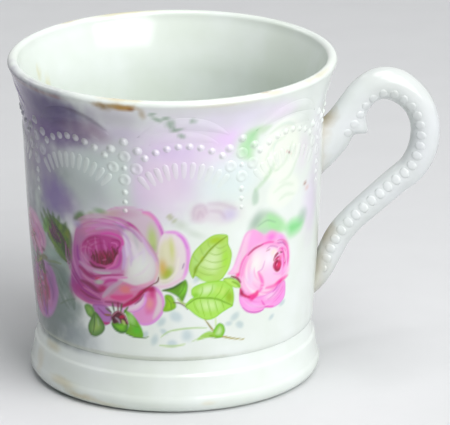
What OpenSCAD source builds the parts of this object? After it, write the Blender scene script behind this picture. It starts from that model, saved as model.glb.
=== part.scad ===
// Porcelain mustache cup: a footed cup with a ledge inside the lip that keeps a moustache dry.
// The origin is the centre of the base. The cup stands on z = 0 and its handle points along +X.
// The drinking side, with the ledge, faces -Y. All lengths are in millimetres.

/* [Cup] */
// Height of the cup, from the table to the top of the lip
cup_h = 90; // [80:1:102]
// Widest diameter of the lip
lip_d = 90; // [86:1:98]
// Diameter of the wall where the lip starts to turn outwards
neck_d = 82.4; // [79:0.2:84]
// Diameter of the wall just above the waist
shoulder_d = 76.6; // [74:0.2:79]
// How far the wall swells beyond a straight line at half its height
belly = 0.4; // [0:0.1:1.5]
// Height over which the lip turns outwards
flare_h = 16; // [12:1:22]
// Thickness of the wall
wall_t = 3; // [2.4:0.1:4]
// Thickness of the rounded lip
lip_t = 2.9; // [2.4:0.1:3.8]
// Thickness of the floor
floor_t = 4; // [3:0.5:7]
// Radius between the wall and the floor, inside
corner_r = 10; // [5:1:16]

/* [Foot] */
// Height of the foot, from the table to the waist
foot_h = 14.8; // [11:0.2:18]
// Widest diameter of the foot
foot_d = 80; // [78:0.5:86]
// Diameter of the waist, where the cup meets the foot
waist_d = 75; // [71:0.5:76]
// Height of the shoulder that rounds out from the waist
shoulder_h = 3.5; // [2:0.5:6]
// Radius of the round edge at the bottom of the foot
foot_round_r = 3.4; // [2.4:0.2:4.4]
// Width of the flat ring that touches the table
foot_ring_w = 2.6; // [1.6:0.2:4]
// Thickness of the foot's wall at the waist
foot_wall_t = 3.8; // [3:0.2:6]

/* [Mustache guard] */
// Depth of the ledge's top below the lip
guard_drop = 9; // [8:0.5:14]
// Thickness of the ledge
guard_t = 2.6; // [2:0.2:4]
// How far the ledge reaches in from the wall
guard_reach = 22; // [16:1:26]
// Radius of the ledge's free edge, seen from above
guard_edge_r = 60; // [45:5:120]
// Width of the drinking slot, from the wall inwards
slot_reach = 7; // [5:0.5:9]
// Radius of the drinking slot's inner edge
slot_r = 20; // [14:1:30]

/* [Handle] */
// How far the handle stands out past the lip
handle_out = 28.4; // [24:0.4:34]
// Height of the handle, from its lowest to its highest point
handle_h = 64.6; // [58:0.2:68]
// Depth of the handle's highest point below the lip
handle_drop = 5.6; // [4:0.2:8]
// Thickness of the handle at its far side, seen from the side
handle_t = 8.1; // [6:0.1:9.5]
// Width of the handle, seen end on
handle_w = 8.6; // [7:0.2:11]
// Diameter of the beads along both sides of the handle
handle_bead_d = 2.3; // [1.6:0.1:2.6]
// Distance from one handle bead to the next
handle_bead_pitch = 2.9; // [2.8:0.1:4]

/* [Raised band] */
// Number of arches round the cup
arches = 8; // [7:1:8]
// Diameter of the beads in the arches
arch_bead_d = 2.2; // [1.6:0.1:2.6]
// Number of beads in one arch
arch_bead_count = 8; // [6:1:8]
// Depth of the top of a bead arch below the lip
arch_bead_drop = 13.4; // [12.4:0.2:14.2]
// Rise of a bead arch, from its ends to its top
arch_bead_rise = 3.4; // [2:0.2:4]
// Diameter of the beads in the peak between two arches
peak_bead_d = 2.7; // [2:0.1:3]
// Depth of the top bead of a peak below the lip
peak_drop = 12.5; // [11:0.5:13]
// Drop from the top bead of a peak to its side beads
peak_rise = 2.4; // [2:0.2:3]
// Depth of the upper rib's top below the lip
upper_rib_drop = 6.6; // [5:0.2:7.6]
// Rise of the upper rib, from its ends to its top
upper_rib_rise = 4.4; // [3:0.2:5]
// Depth of the lower rib's top below the lip
lower_rib_drop = 10.6; // [9.6:0.2:11]
// Rise of the lower rib, from its ends to its top
lower_rib_rise = 2.6; // [1.8:0.2:3]
// Width of a rib
rib_w = 1.1; // [0.8:0.1:1.6]
// How far a rib stands out of the wall
rib_out = 0.6; // [0.4:0.1:1]
// Depth of the middle of a rosette below the lip
rosette_drop = 20; // [19.8:0.1:20.2]
// Distance from the middle of a rosette to the middle of a petal
petal_reach = 3.3; // [3:0.1:3.4]
// Diameter of a petal
petal_d = 3.2; // [2.6:0.1:3.2]
// Height of a petal's rim over the wall
petal_out = 0.7; // [0.5:0.1:1]
// Diameter of the bead in the middle of a rosette
rosette_bead_d = 1.7; // [1.4:0.1:2]
// Depth of the top pendant bead below the lip
pendant_drop = 26.8; // [26.6:0.2:28]
// Length of the row of pendant beads, between the first and the last
pendant_h = 5.2; // [4.8:0.2:7]
// Number of pendant beads under a peak
pendant_count = 3; // [2:1:3]
// Diameter of the top pendant bead
pendant_d = 1.9; // [1.5:0.1:2]
// Depth of the point where a shell's flutes would meet below the lip
shell_drop = 37; // [37:0.2:40]
// Radius of a shell, from that point to the tips of the flutes
shell_r = 19.2; // [17:0.1:19.3]
// Number of flutes in a shell
flute_count = 11; // [9:2:13]
// Angle between the first and the last flute
shell_spread = 78; // [60:2:80]

/* [Hidden] */
$fn = 72;

glaze = [0.93, 0.95, 0.90];
lilac_glaze = [0.83, 0.76, 0.90];
foot_glaze = [0.90, 0.91, 0.87];

// Radii and heights that several pieces share
lip_r = lip_d / 2;
neck_r = neck_d / 2;
shoulder_r = shoulder_d / 2;
waist_r = waist_d / 2;
foot_r = foot_d / 2;
lip_mid_z = cup_h - lip_t / 2;
neck_z = cup_h - flare_h;
shoulder_z = foot_h + shoulder_h;
floor_z = foot_h + floor_t;
corner_z = floor_z + corner_r;
wall_slope = (neck_r - shoulder_r) / (neck_z - shoulder_z);
// The part of the lip's turn that the slope of the wall doesn't give already
turn_out = lip_r - neck_r - wall_slope * (lip_mid_z - neck_z);
turn_power = 1.8;
// Steps along the curves of the outline
wall_steps = 14;
flare_steps = 9;
shoulder_steps = 4;
round_steps = 8;

// Outer radius of the wall at a height, from the waist to the lip
function wall_r(z) =
    z < shoulder_z
        ? waist_r + (shoulder_r - waist_r) * sqrt(max(0, 1 - pow((shoulder_z - z) / shoulder_h, 2)))
        : z < neck_z
            ? shoulder_r + wall_slope * (z - shoulder_z)
                + belly * sin(180 * (z - shoulder_z) / (neck_z - shoulder_z))
            : neck_r + wall_slope * (z - neck_z)
                + turn_out * pow(min(1, (z - neck_z) / (lip_mid_z - neck_z)), turn_power);

// Thickness of the wall at a height, which changes to the lip's along the flare
function thick(z) =
    z < neck_z ? wall_t : wall_t + (lip_t - wall_t) * (z - neck_z) / (lip_mid_z - neck_z);

function bore_r(z) = wall_r(z) - thick(z);

// Heights at which the wall's outline has a point, from the waist to the middle of the lip
wall_zs = concat(
    [for (i = [0:shoulder_steps - 1]) foot_h + shoulder_h * i / shoulder_steps],
    [for (i = [0:wall_steps - 1]) shoulder_z + (neck_z - shoulder_z) * i / wall_steps],
    [for (i = [0:flare_steps]) neck_z + (lip_mid_z - neck_z) * i / flare_steps]
);

outer_line = [for (z = wall_zs) [wall_r(z), z]];

// Round top of the lip, from the outside to the inside
lip_line = [
    for (i = [1:round_steps - 1])
        [lip_r - lip_t / 2 + lip_t / 2 * cos(180 * i / round_steps),
         lip_mid_z + lip_t / 2 * sin(180 * i / round_steps)]
];

// Inside of the cup, from the lip down the wall and round the corner to the middle of the floor
bore_line = concat(
    [for (i = [flare_steps:-1:1])
        let (z = neck_z + (lip_mid_z - neck_z) * i / flare_steps) [bore_r(z), z]],
    [for (i = [wall_steps:-1:1])
        let (z = corner_z + (neck_z - corner_z) * i / wall_steps) [bore_r(z), z]],
    [for (i = [0:round_steps])
        [bore_r(corner_z) - corner_r + corner_r * cos(90 * i / round_steps),
         corner_z - corner_r * sin(90 * i / round_steps)]]
);

module cup_body() {
    color(glaze)
        rotate_extrude()
            polygon(concat([[0, foot_h]], outer_line, lip_line, bore_line, [[0, floor_z]]));
}

// The room inside the cup, up to the middle of the lip
module bore() {
    rotate_extrude()
        polygon(concat([[0, lip_mid_z]], bore_line, [[0, floor_z]]));
}

// The cup as if it were solid: what is fixed to the wall is cut back to it by this
module wall_form() {
    rotate_extrude()
        polygon(concat([[0, foot_h]], outer_line, [[0, lip_mid_z]]));
}

// A skin that lies on the wall
module wall_skin(out) {
    rotate_extrude()
        polygon(concat(
            outer_line,
            [for (i = [len(outer_line) - 1:-1:0]) outer_line[i] + [out, 0]]
        ));
}

// Foot: a low hollow pedestal with a round edge and a flat ring to stand on
foot_round_end = 30;
foot_edge_r = foot_r - foot_round_r;
foot_ring_r = foot_edge_r - foot_ring_w;
foot_curve_r = foot_edge_r + foot_round_r * cos(foot_round_end);
foot_curve_z = foot_round_r * (1 + sin(foot_round_end));
foot_curve_power = 1.2;
foot_hollow_r = waist_r - foot_wall_t;

module foot() {
    color(foot_glaze)
        rotate_extrude()
            polygon(concat(
                [[foot_hollow_r, foot_h], [foot_ring_r, 0]],
                [for (i = [0:round_steps])
                    let (a = -90 + (90 + foot_round_end) * i / round_steps)
                    [foot_edge_r + foot_round_r * cos(a), foot_round_r * (1 + sin(a))]],
                [for (i = [1:round_steps])
                    let (left = 1 - i / round_steps)
                    [waist_r + (foot_curve_r - waist_r) * pow(left, foot_curve_power),
                     foot_h - (foot_h - foot_curve_z) * left]]
            ));
}

// Mustache guard: a ledge across the drinking side, with a slot along the wall to drink through
guard_z = cup_h - guard_drop;
guard_wall_r = bore_r(guard_z);

module guard_plan() {
    difference() {
        intersection() {
            circle(lip_r);
            translate([0, -(guard_wall_r - guard_reach + guard_edge_r)])
                circle(guard_edge_r);
        }
        translate([0, -(guard_wall_r - slot_reach + slot_r)])
            circle(slot_r);
    }
}

module mustache_guard() {
    color(glaze)
        intersection() {
            translate([0, 0, guard_z - guard_t])
                linear_extrude(height = guard_t)
                    guard_plan();
            bore();
        }
}

// Handle: an ear-shaped loop with an oval section. It springs from the wall below the lip, makes a
// small pointed spur inwards, and runs back down to the wall above the waist.
handle_far_x = lip_r + handle_out - handle_t / 2;
handle_low_z = cup_h - handle_drop - handle_h;
handle_sides = 14;
handle_steps = 2;

// One row for each point of the middle line: its place out from the shoulder, its place up the
// handle's height, and the handle's outer half, inner half and width as shares of theirs
handle_shares = [
    [-0.058, 0.625, 0.86, 0.86, 1.20],
    [0.055, 0.668, 0.77, 0.81, 1.16],
    [0.171, 0.714, 0.62, 0.70, 1.10],
    [0.248, 0.757, 0.57, 0.60, 1.05],
    [0.293, 0.786, 0.55, 0.79, 1.02],
    [0.364, 0.834, 0.54, 0.54, 1.00],
    [0.457, 0.894, 0.52, 0.50, 1.00],
    [0.586, 0.931, 0.55, 0.55, 1.00],
    [0.725, 0.926, 0.56, 0.56, 1.00],
    [0.853, 0.886, 0.53, 0.53, 1.00],
    [0.953, 0.824, 0.51, 0.51, 1.00],
    [1.000, 0.745, 0.50, 0.50, 1.00],
    [0.992, 0.664, 0.50, 0.50, 1.00],
    [0.944, 0.597, 0.49, 0.49, 1.00],
    [0.866, 0.543, 0.48, 0.48, 0.98],
    [0.725, 0.489, 0.46, 0.46, 0.96],
    [0.538, 0.411, 0.45, 0.45, 0.94],
    [0.361, 0.335, 0.43, 0.43, 0.94],
    [0.232, 0.262, 0.43, 0.43, 0.98],
    [0.151, 0.185, 0.41, 0.42, 1.04],
    [0.093, 0.120, 0.36, 0.40, 1.06],
    [0.023, 0.058, 0.28, 0.35, 0.96],
    [-0.048, 0.015, 0.18, 0.25, 0.72]
];

function handle_row(s) = [
    shoulder_r + s[0] * (handle_far_x - shoulder_r),
    handle_low_z + s[1] * handle_h,
    s[2] * handle_t,
    s[3] * handle_t,
    s[4] * handle_w / 2
];

handle_rows = [for (s = handle_shares) handle_row(s)];
handle_last = len(handle_rows) - 1;

// A smooth curve through the rows
function between(a, b, c, d, t) =
    b + t * ((c - a) / 2 + t * ((2 * a - 5 * b + 4 * c - d) / 2 + t * (3 * b - a - 3 * c + d) / 2));

handle_rings = concat(
    [for (i = [0:handle_last - 1], j = [0:handle_steps - 1])
        between(handle_rows[max(0, i - 1)], handle_rows[i], handle_rows[i + 1],
            handle_rows[min(handle_last, i + 2)], j / handle_steps)],
    [handle_rows[handle_last]]
);
ring_last = len(handle_rings) - 1;

// Direction of the handle's middle line at a ring, and from it the direction to the inner side
function along(i) =
    let (d = handle_rings[min(ring_last, i + 1)] - handle_rings[max(0, i - 1)])
    [d[0], d[1]] / norm([d[0], d[1]]);

function inwards(i) = [along(i)[1], -along(i)[0]];

function ring_point(i, a) =
    let (ring = handle_rings[i], n = inwards(i), half = cos(a) > 0 ? ring[3] : ring[2])
    [ring[0] + n[0] * half * cos(a), ring[4] * sin(a), ring[1] + n[1] * half * cos(a)];

module handle_tube() {
    polyhedron(
        points = [for (i = [0:ring_last], k = [0:handle_sides - 1])
            ring_point(i, 360 * k / handle_sides)],
        faces = concat(
            [[for (k = [0:handle_sides - 1]) k]],
            [for (i = [0:ring_last - 1], k = [0:handle_sides - 1])
                let (next = (k + 1) % handle_sides, a = i * handle_sides, b = a + handle_sides)
                [a + k, b + k, b + next, a + next]],
            [[for (k = [handle_sides - 1:-1:0]) ring_last * handle_sides + k]]
        )
    );
}

module handle() {
    color(glaze)
        difference() {
            handle_tube();
            wall_form();
        }
}

// Clearance between the flat base of a bead or a flute and what carries it
seat = 0.04;

// A bead: half a ball whose flat base lies on what carries it
module half_ball(d) {
    difference() {
        sphere(d = d);
        translate([0, 0, -d / 2])
            cube(d, center = true);
    }
}

// Beads along the handle: one row on each side, in from the middle line, and nearer to it downwards
bead_row_in_share = 0.31;
bead_row_low_share = 0.12;
bead_start_share = 0.13;
// Clearance between the wall and the middle of the row's last bead
bead_wall_gap = 1.35;

// Distance from the middle line to the row, at each ring of the handle
bead_row_in = [for (i = [0:ring_last])
    handle_t * (bead_row_in_share + (bead_row_low_share - bead_row_in_share) * i / ring_last)];

// The row seen from the side, at each ring of the handle
bead_row = [for (i = [0:ring_last])
    [handle_rings[i][0], handle_rings[i][1]] + bead_row_in[i] * inwards(i)];

// Length of the row up to each ring
row_lengths = [
    for (i = 0, total = 0;
        i <= ring_last;
        i = i + 1, total = total + (i > ring_last ? 0 : norm(bead_row[i] - bead_row[i - 1])))
        total
];

// Past the far side of the handle the row comes back towards the wall, and stops short of it
bead_row_end = lookup(
    -bead_wall_gap,
    [for (i = [floor(ring_last / 2):ring_last])
        [wall_r(bead_row[i][1]) - bead_row[i][0], row_lengths[i]]]
);
bead_row_start = bead_start_share * row_lengths[ring_last];
bead_row_length = bead_row_end - bead_row_start;
handle_bead_steps = floor(bead_row_length / handle_bead_pitch);

function row_value(s, values) =
    lookup(s, [for (i = [0:ring_last]) [row_lengths[i], values[i]]]);

module handle_bead(s, side) {
    x = row_value(s, [for (p = bead_row) p[0]]);
    z = row_value(s, [for (p = bead_row) p[1]]);
    in_x = row_value(s, [for (i = [0:ring_last]) inwards(i)[0]]);
    in_z = row_value(s, [for (i = [0:ring_last]) inwards(i)[1]]);
    half_t = row_value(s, [for (ring = handle_rings) ring[3]]);
    half_w = row_value(s, [for (ring = handle_rings) ring[4]]);
    place = acos(row_value(s, bead_row_in) / half_t);
    // How far the oval's surface leans inwards there
    lean = atan2(cos(place) / half_t, sin(place) / half_w);
    translate([x, side * half_w * sin(place), z])
        rotate([0, atan2(in_x, in_z), 0])
            rotate([-side * (90 - lean), 0, 0])
                translate([0, 0, seat])
                    half_ball(handle_bead_d);
}

module handle_beads() {
    color(glaze)
        for (side = [-1, 1], i = [0:handle_bead_steps])
            handle_bead(bead_row_start + bead_row_length * i / handle_bead_steps, side);
}

// Raised band: arches of ribs and beads, with a shell in each arch and a pendant between them
arch_turn = 360 / arches;
bead_span_share = 0.65;
upper_rib_span_share = 0.74;
lower_rib_span_share = 0.58;
peak_span_share = 0.23;
pendant_taper_share = 0.75;

// How much the wall's radius grows for each unit of height
function wall_lean(z) = (wall_r(z + rib_w) - wall_r(z - rib_w)) / (2 * rib_w);

// A bead on the wall, turned a little from the middle of its arch
module wall_bead(turn, z, d) {
    rotate([0, 0, turn])
        translate([wall_r(z) + seat, 0, z])
            rotate([0, 90 + atan(wall_lean(z)), 0])
                half_ball(d);
}

// The first arch is the one that the handle springs from
module every_arch(first = 0) {
    for (i = [first:arches - 1])
        rotate([0, 0, arch_turn * i])
            children();
}

module arch_beads() {
    color(lilac_glaze)
        every_arch()
            for (i = [0:arch_bead_count - 1]) {
                place = 2 * i / (arch_bead_count - 1) - 1;
                wall_bead(
                    place * bead_span_share * arch_turn / 2,
                    cup_h - arch_bead_drop - arch_bead_rise * place * place,
                    arch_bead_d
                );
            }
}

module peak_beads() {
    color(glaze)
        every_arch()
            for (place = [-1:1])
                wall_bead(
                    arch_turn / 2 * (1 + place * peak_span_share),
                    cup_h - peak_drop - peak_rise * abs(place),
                    peak_bead_d
                );
}

// A petal: a round boss with a raised rim and a shallow hollow, as an outline turned about its middle
module petal() {
    r = petal_d / 2;
    rotate_extrude()
        polygon([
            [0, 0], [r, 0], [r * 0.96, petal_out * 0.5], [r * 0.84, petal_out * 0.86],
            [r * 0.68, petal_out], [r * 0.5, petal_out * 0.9], [r * 0.3, petal_out * 0.68],
            [0, petal_out * 0.6]
        ]);
}

// Rosettes: four petals round a bead, one under each peak
module peak_rosettes() {
    color(glaze)
        every_arch() {
            wall_bead(arch_turn / 2, cup_h - rosette_drop, rosette_bead_d);
            for (i = [0:3]) {
                z = cup_h - rosette_drop + petal_reach * cos(90 * i);
                rotate([0, 0, arch_turn / 2 + asin(petal_reach * sin(90 * i) / wall_r(z))])
                    translate([wall_r(z) + seat, 0, z])
                        rotate([0, 90 + atan(wall_lean(z)), 0])
                            petal();
            }
        }
}

module pendant_beads() {
    color(glaze)
        every_arch()
            for (i = [0:pendant_count - 1]) {
                down = i / (pendant_count - 1);
                size = 1 - (1 - pendant_taper_share) * down;
                wall_bead(
                    arch_turn / 2,
                    cup_h - pendant_drop - pendant_h * down * (1 + size) / (1 + pendant_taper_share),
                    pendant_d * size
                );
            }
}

// A rib is the part of the wall's skin that lies in front of a bowed strip
module arch_rib(drop, rise, span_share) {
    half = wall_r(cup_h - drop) * sin(span_share * arch_turn / 2);
    bow_r = (half * half + rise * rise) / (2 * rise);
    intersection() {
        rotate([90, 0, 90])
            linear_extrude(height = lip_d)
                intersection() {
                    translate([0, cup_h - drop - bow_r])
                        difference() {
                            circle(bow_r + rib_w / 2);
                            circle(bow_r - rib_w / 2);
                        }
                    translate([-half, cup_h - drop - 2 * rise])
                        square([2 * half, 3 * rise]);
                }
        wall_skin(rib_out);
    }
}

module upper_arch_ribs() {
    color(lilac_glaze)
        every_arch()
            arch_rib(upper_rib_drop, upper_rib_rise, upper_rib_span_share);
}

module lower_arch_ribs() {
    color(lilac_glaze)
        every_arch()
            arch_rib(lower_rib_drop, lower_rib_rise, lower_rib_span_share);
}

// Shell: round flutes that spread from one point low in the arch. Each is half a cone with half a ball
// on its wide end, and lies with its flat side on the wall. The handle's root takes the place of the
// first arch's shell.
flute_turn = shell_spread / (flute_count - 1);
flute_fill_share = 0.9;
flute_start_share = 0.68;
shell_z = cup_h - shell_drop;
flute_slope = flute_fill_share * tan(flute_turn / 2);
flute_start = shell_r * flute_start_share;
flute_end = shell_r / (1 + flute_slope);

// The place on the wall that lies at a distance and an angle from the shell's point
function on_shell(distance, angle) =
    let (z = shell_z + distance * cos(angle), r = wall_r(z), y = distance * sin(angle))
    [sqrt(r * r - y * y), y, z];

module flute(angle) {
    low = on_shell(flute_start, angle);
    high = on_shell(flute_end, angle);
    seat_point = on_shell((flute_start + flute_end) / 2, angle);
    length = norm(high - low);
    up = (high - low) / length;
    // Straight out of the wall at the middle of the flute, square to its length
    seat_r = norm([seat_point[0], seat_point[1]]);
    lean = [seat_point[0], seat_point[1], -wall_lean(seat_point[2]) * seat_r];
    level = lean - (lean * up) * up;
    out = level / norm(level);
    lift = (seat_point - (low + high) / 2) * out + seat;
    foot_point = low + lift * out;
    side = cross(up, out);
    end_r = flute_end * flute_slope;
    multmatrix([for (i = [0:2]) [out[i], side[i], up[i], foot_point[i]]])
        difference() {
            union() {
                cylinder(h = length, r1 = flute_start * flute_slope, r2 = end_r);
                translate([0, 0, length])
                    sphere(r = end_r);
            }
            translate([-2 * end_r, -2 * end_r, -end_r])
                cube([2 * end_r, 4 * end_r, length + 3 * end_r]);
        }
}

module shell_flutes() {
    color(lilac_glaze)
        every_arch(first = 1)
            for (i = [0:flute_count - 1])
                flute(flute_turn * i - shell_spread / 2);
}

cup_body();
foot();
mustache_guard();
handle();
handle_beads();
upper_arch_ribs();
lower_arch_ribs();
arch_beads();
peak_beads();
peak_rosettes();
pendant_beads();
shell_flutes();
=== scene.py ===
# Porcelain mustache cup: a footed cup with a turned-out lip, an ear-shaped handle, a raised band
# of arches, pearls and shells, and a rose print under its glaze. Metres, in the frame's own axes:
# the handle points along +X, and the drinking side with the guard faces -Y.
import math

import bmesh
import bpy
import numpy as np
from mathutils import Matrix, Vector


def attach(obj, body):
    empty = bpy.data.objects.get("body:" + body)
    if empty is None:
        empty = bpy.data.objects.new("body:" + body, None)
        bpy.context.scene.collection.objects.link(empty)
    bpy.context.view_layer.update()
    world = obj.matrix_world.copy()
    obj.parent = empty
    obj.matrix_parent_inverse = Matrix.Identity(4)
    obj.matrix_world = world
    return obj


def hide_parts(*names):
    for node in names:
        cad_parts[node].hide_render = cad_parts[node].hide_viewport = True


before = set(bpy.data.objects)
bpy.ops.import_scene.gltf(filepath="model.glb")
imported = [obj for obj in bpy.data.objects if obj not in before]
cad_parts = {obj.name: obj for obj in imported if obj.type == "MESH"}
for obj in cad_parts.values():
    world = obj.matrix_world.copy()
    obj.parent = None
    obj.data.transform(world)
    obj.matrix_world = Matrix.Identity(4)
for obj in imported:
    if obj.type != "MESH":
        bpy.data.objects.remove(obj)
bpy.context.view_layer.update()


# Camera, table and light
# The camera looks a little down at the cup from far off, as the photograph does. A pale table top
# runs out of view on all sides. One broad soft lamp stands to the right in front of the cup, with
# a weaker one above and one behind at the left.
MM = 0.001


def linear(hex_colour):
    """An sRGB hex colour as linear red, green and blue."""
    parts = [int(hex_colour[i:i + 2], 16) / 255 for i in (1, 3, 5)]
    return [c / 12.92 if c <= 0.04045 else ((c + 0.055) / 1.055) ** 2.4 for c in parts]


def add(tree, kind, links=(), **settings):
    """Adds a node: settings by input name or property, links as (its input, other's output)."""
    node = tree.nodes.new("ShaderNode" + kind)
    for name, value in settings.items():
        plain = name.replace("_", " ")
        if plain in node.inputs:
            node.inputs[plain].default_value = value
        else:
            setattr(node, name, value)
    for own, source in links:
        tree.links.new(source, node.inputs[own])
    return node


def new_material(name):
    """A material with its tree, Principled shader and a Texture Coordinate node."""
    material = bpy.data.materials.new(name)
    material.use_nodes = True
    tree = material.node_tree
    return material, tree, tree.nodes["Principled BSDF"], add(tree, "TexCoord")


VIEW_TURN, VIEW_RISE, VIEW_ROLL = (math.radians(a) for a in (-4.5, 18.289, 0.35))
VIEW_DISTANCE = 1415.5 * MM
VIEW_TARGET = Vector((14, 0, 45)) * MM
FRAME_WIDTH_PX = 450
FOCAL_PX = 5143.9
SHIFT_PX = (0.42, -3.08)
SENSOR_MM = 36
VIEW_END = 100


def way_to(turn, rise):
    """The direction turned from the front towards the handle, and risen, by angles in radians."""
    return Vector((math.sin(turn) * math.cos(rise), -math.cos(turn) * math.cos(rise),
                   math.sin(rise)))


back = way_to(VIEW_TURN, VIEW_RISE)
level = Vector((math.cos(VIEW_TURN), math.sin(VIEW_TURN), 0))
upright = back.cross(level)
right = level * math.cos(VIEW_ROLL) - upright * math.sin(VIEW_ROLL)
up = upright * math.cos(VIEW_ROLL) + level * math.sin(VIEW_ROLL)

camera = bpy.data.objects.new("camera", bpy.data.cameras.new("camera"))
bpy.context.scene.collection.objects.link(camera)
camera.matrix_world = Matrix.Translation(VIEW_TARGET + back * VIEW_DISTANCE) @ Matrix(
    (right, up, back)).transposed().to_4x4()
camera.data.sensor_width = SENSOR_MM
camera.data.lens = FOCAL_PX / FRAME_WIDTH_PX * SENSOR_MM
camera.data.shift_x = SHIFT_PX[0] / FRAME_WIDTH_PX
camera.data.shift_y = SHIFT_PX[1] / FRAME_WIDTH_PX
camera.data.clip_end = VIEW_END
bpy.context.scene.camera = camera
bpy.context.scene.view_settings.view_transform = "Standard"

FLOOR_SIZE = 6.0
floor_bm = bmesh.new()
bmesh.ops.create_grid(floor_bm, x_segments=1, y_segments=1, size=FLOOR_SIZE / 2)
floor_mesh = bpy.data.meshes.new("floor")
floor_bm.to_mesh(floor_mesh)
floor_bm.free()
floor = bpy.data.objects.new("floor", floor_mesh)
bpy.context.scene.collection.objects.link(floor)
# Matt paper: pale and even, with no gloss of its own, and a cloudiness this wide in millimetres
PAPER_CLOUD = 16.7
paper, tree, shader, coords = new_material("matt_paper")
grain = add(tree, "TexNoise", [("Vector", coords.outputs["Object"])],
            Scale=1 / (PAPER_CLOUD * MM), Detail=4.0)
shade = add(tree, "ValToRGB", [("Fac", grain.outputs["Fac"])])
shade.color_ramp.elements[0].color = (*linear("#d9dadb"), 1)
shade.color_ramp.elements[1].color = (*linear("#dedfe0"), 1)
tree.links.new(shade.outputs["Color"], shader.inputs["Base Color"])
shader.inputs["Roughness"].default_value = 0.95
shader.inputs["Specular IOR Level"].default_value = 0.2
floor_mesh.materials.append(paper)

# Level of the light that comes from all sides, and of the pale room that shows in the glaze
ROOM_LIGHT = 0.09
ROOM_SHOWN = 0.86
world = bpy.data.worlds.new("room")
bpy.context.scene.world = world
world.use_nodes = True
tree = world.node_tree
tree.nodes.clear()
path = add(tree, "LightPath")
seen = add(tree, "Math", [(0, path.outputs["Is Camera Ray"]), (1, path.outputs["Is Glossy Ray"])],
           operation="MAXIMUM")
seen = add(tree, "Math", [(0, seen.outputs[0]), (1, path.outputs["Is Transmission Ray"])],
           operation="MAXIMUM")
dim = add(tree, "Background", Color=(*linear("#f2f6ff"), 1), Strength=ROOM_LIGHT)
shown = add(tree, "Background", Color=(*linear("#ffffff"), 1), Strength=ROOM_SHOWN)
both = add(tree, "MixShader", [("Fac", seen.outputs[0])])
tree.links.new(dim.outputs[0], both.inputs[1])
tree.links.new(shown.outputs[0], both.inputs[2])
add(tree, "OutputWorld", [("Surface", both.outputs[0])])


def lamp(name, turn, rise, distance, size, power):
    """A square soft lamp that faces the cup, turned and risen by angles in degrees."""
    data = bpy.data.lights.new(name, "AREA")
    data.size = size
    data.energy = power
    made = bpy.data.objects.new(name, data)
    bpy.context.scene.collection.objects.link(made)
    way = way_to(math.radians(turn), math.radians(rise))
    made.location = VIEW_TARGET + way * distance
    made.rotation_euler = way.to_track_quat("Z", "Y").to_euler()


lamp("key_lamp", turn=36, rise=38, distance=1.3, size=1.1, power=17.4)
lamp("ceiling_lamp", turn=20, rise=84, distance=1.1, size=0.7, power=6.4)
lamp("window_lamp", turn=-132, rise=38, distance=1.2, size=0.5, power=1.8)


# Cup body
# Hard-paste porcelain, jiggered or slip cast: a nearly straight wall on a narrow waist, with a lip
# that turns out and ends in a round bead, and a flat floor with a wide round corner.
CUP_H = 90.0
LIP_R, NECK_R, SHOULDER_R, WAIST_R = 45.0, 41.2, 38.3, 37.5
WALL_T, LIP_T, FLOOR_T, CORNER_R = 3.0, 2.9, 4.0, 10.0
FOOT_H, SHOULDER_H, FLARE_H, BELLY = 14.8, 3.5, 16.0, 0.4
TURN_POWER = 1.8
LIP_MID_Z = CUP_H - LIP_T / 2
NECK_Z = CUP_H - FLARE_H
SHOULDER_Z = FOOT_H + SHOULDER_H
FLOOR_Z = FOOT_H + FLOOR_T
CORNER_Z = FLOOR_Z + CORNER_R
WALL_SLOPE = (NECK_R - SHOULDER_R) / (NECK_Z - SHOULDER_Z)
TURN_OUT = LIP_R - NECK_R - WALL_SLOPE * (LIP_MID_Z - NECK_Z)
# The print is drawn flat: along is the angle from the drinking side times this radius
FLAT_R = 40.0
# Points of a mesh that lie closer than this, in millimetres, are one
SAME_POINT = 0.0005


def wall_r(z):
    """Outer radius of the wall at a height, from the waist to the lip, in millimetres."""
    z = np.asarray(z, float)
    low = WAIST_R + (SHOULDER_R - WAIST_R) * np.sqrt(
        np.clip(1 - ((SHOULDER_Z - z) / SHOULDER_H) ** 2, 0, 1))
    high = (z - SHOULDER_Z) / (NECK_Z - SHOULDER_Z)
    middle = SHOULDER_R + WALL_SLOPE * (z - SHOULDER_Z) + BELLY * np.sin(np.pi * high)
    turned = np.clip((z - NECK_Z) / (LIP_MID_Z - NECK_Z), 0, 1) ** TURN_POWER
    top = NECK_R + WALL_SLOPE * (z - NECK_Z) + TURN_OUT * turned
    return np.where(z < SHOULDER_Z, low, np.where(z < NECK_Z, middle, top))


def bore_r(z):
    """Inner radius of the wall at a height, in millimetres."""
    thin = np.clip((np.asarray(z, float) - NECK_Z) / (LIP_MID_Z - NECK_Z), 0, 1)
    return wall_r(z) - WALL_T - (LIP_T - WALL_T) * thin


def on_wall(along, z, out=0.0):
    """The point on the wall, out millimetres in front of it, as a Vector in metres."""
    r = float(wall_r(z)) + out
    return Vector((r * math.sin(along / FLAT_R), -r * math.cos(along / FLAT_R), z)) * MM


def finish_piece(bm, node):
    """Makes the bmesh a glazed piece that rides on the cup, in place of its CAD node."""
    name = node + "_glazed"
    bmesh.ops.remove_doubles(bm, verts=bm.verts, dist=SAME_POINT * MM)
    bmesh.ops.recalc_face_normals(bm, faces=bm.faces)
    mesh = bpy.data.meshes.new(name)
    bm.to_mesh(mesh)
    bm.free()
    mesh.shade_smooth()
    piece = bpy.data.objects.new(name, mesh)
    bpy.context.scene.collection.objects.link(piece)
    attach(piece, "root")
    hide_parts(node)
    return piece


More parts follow.
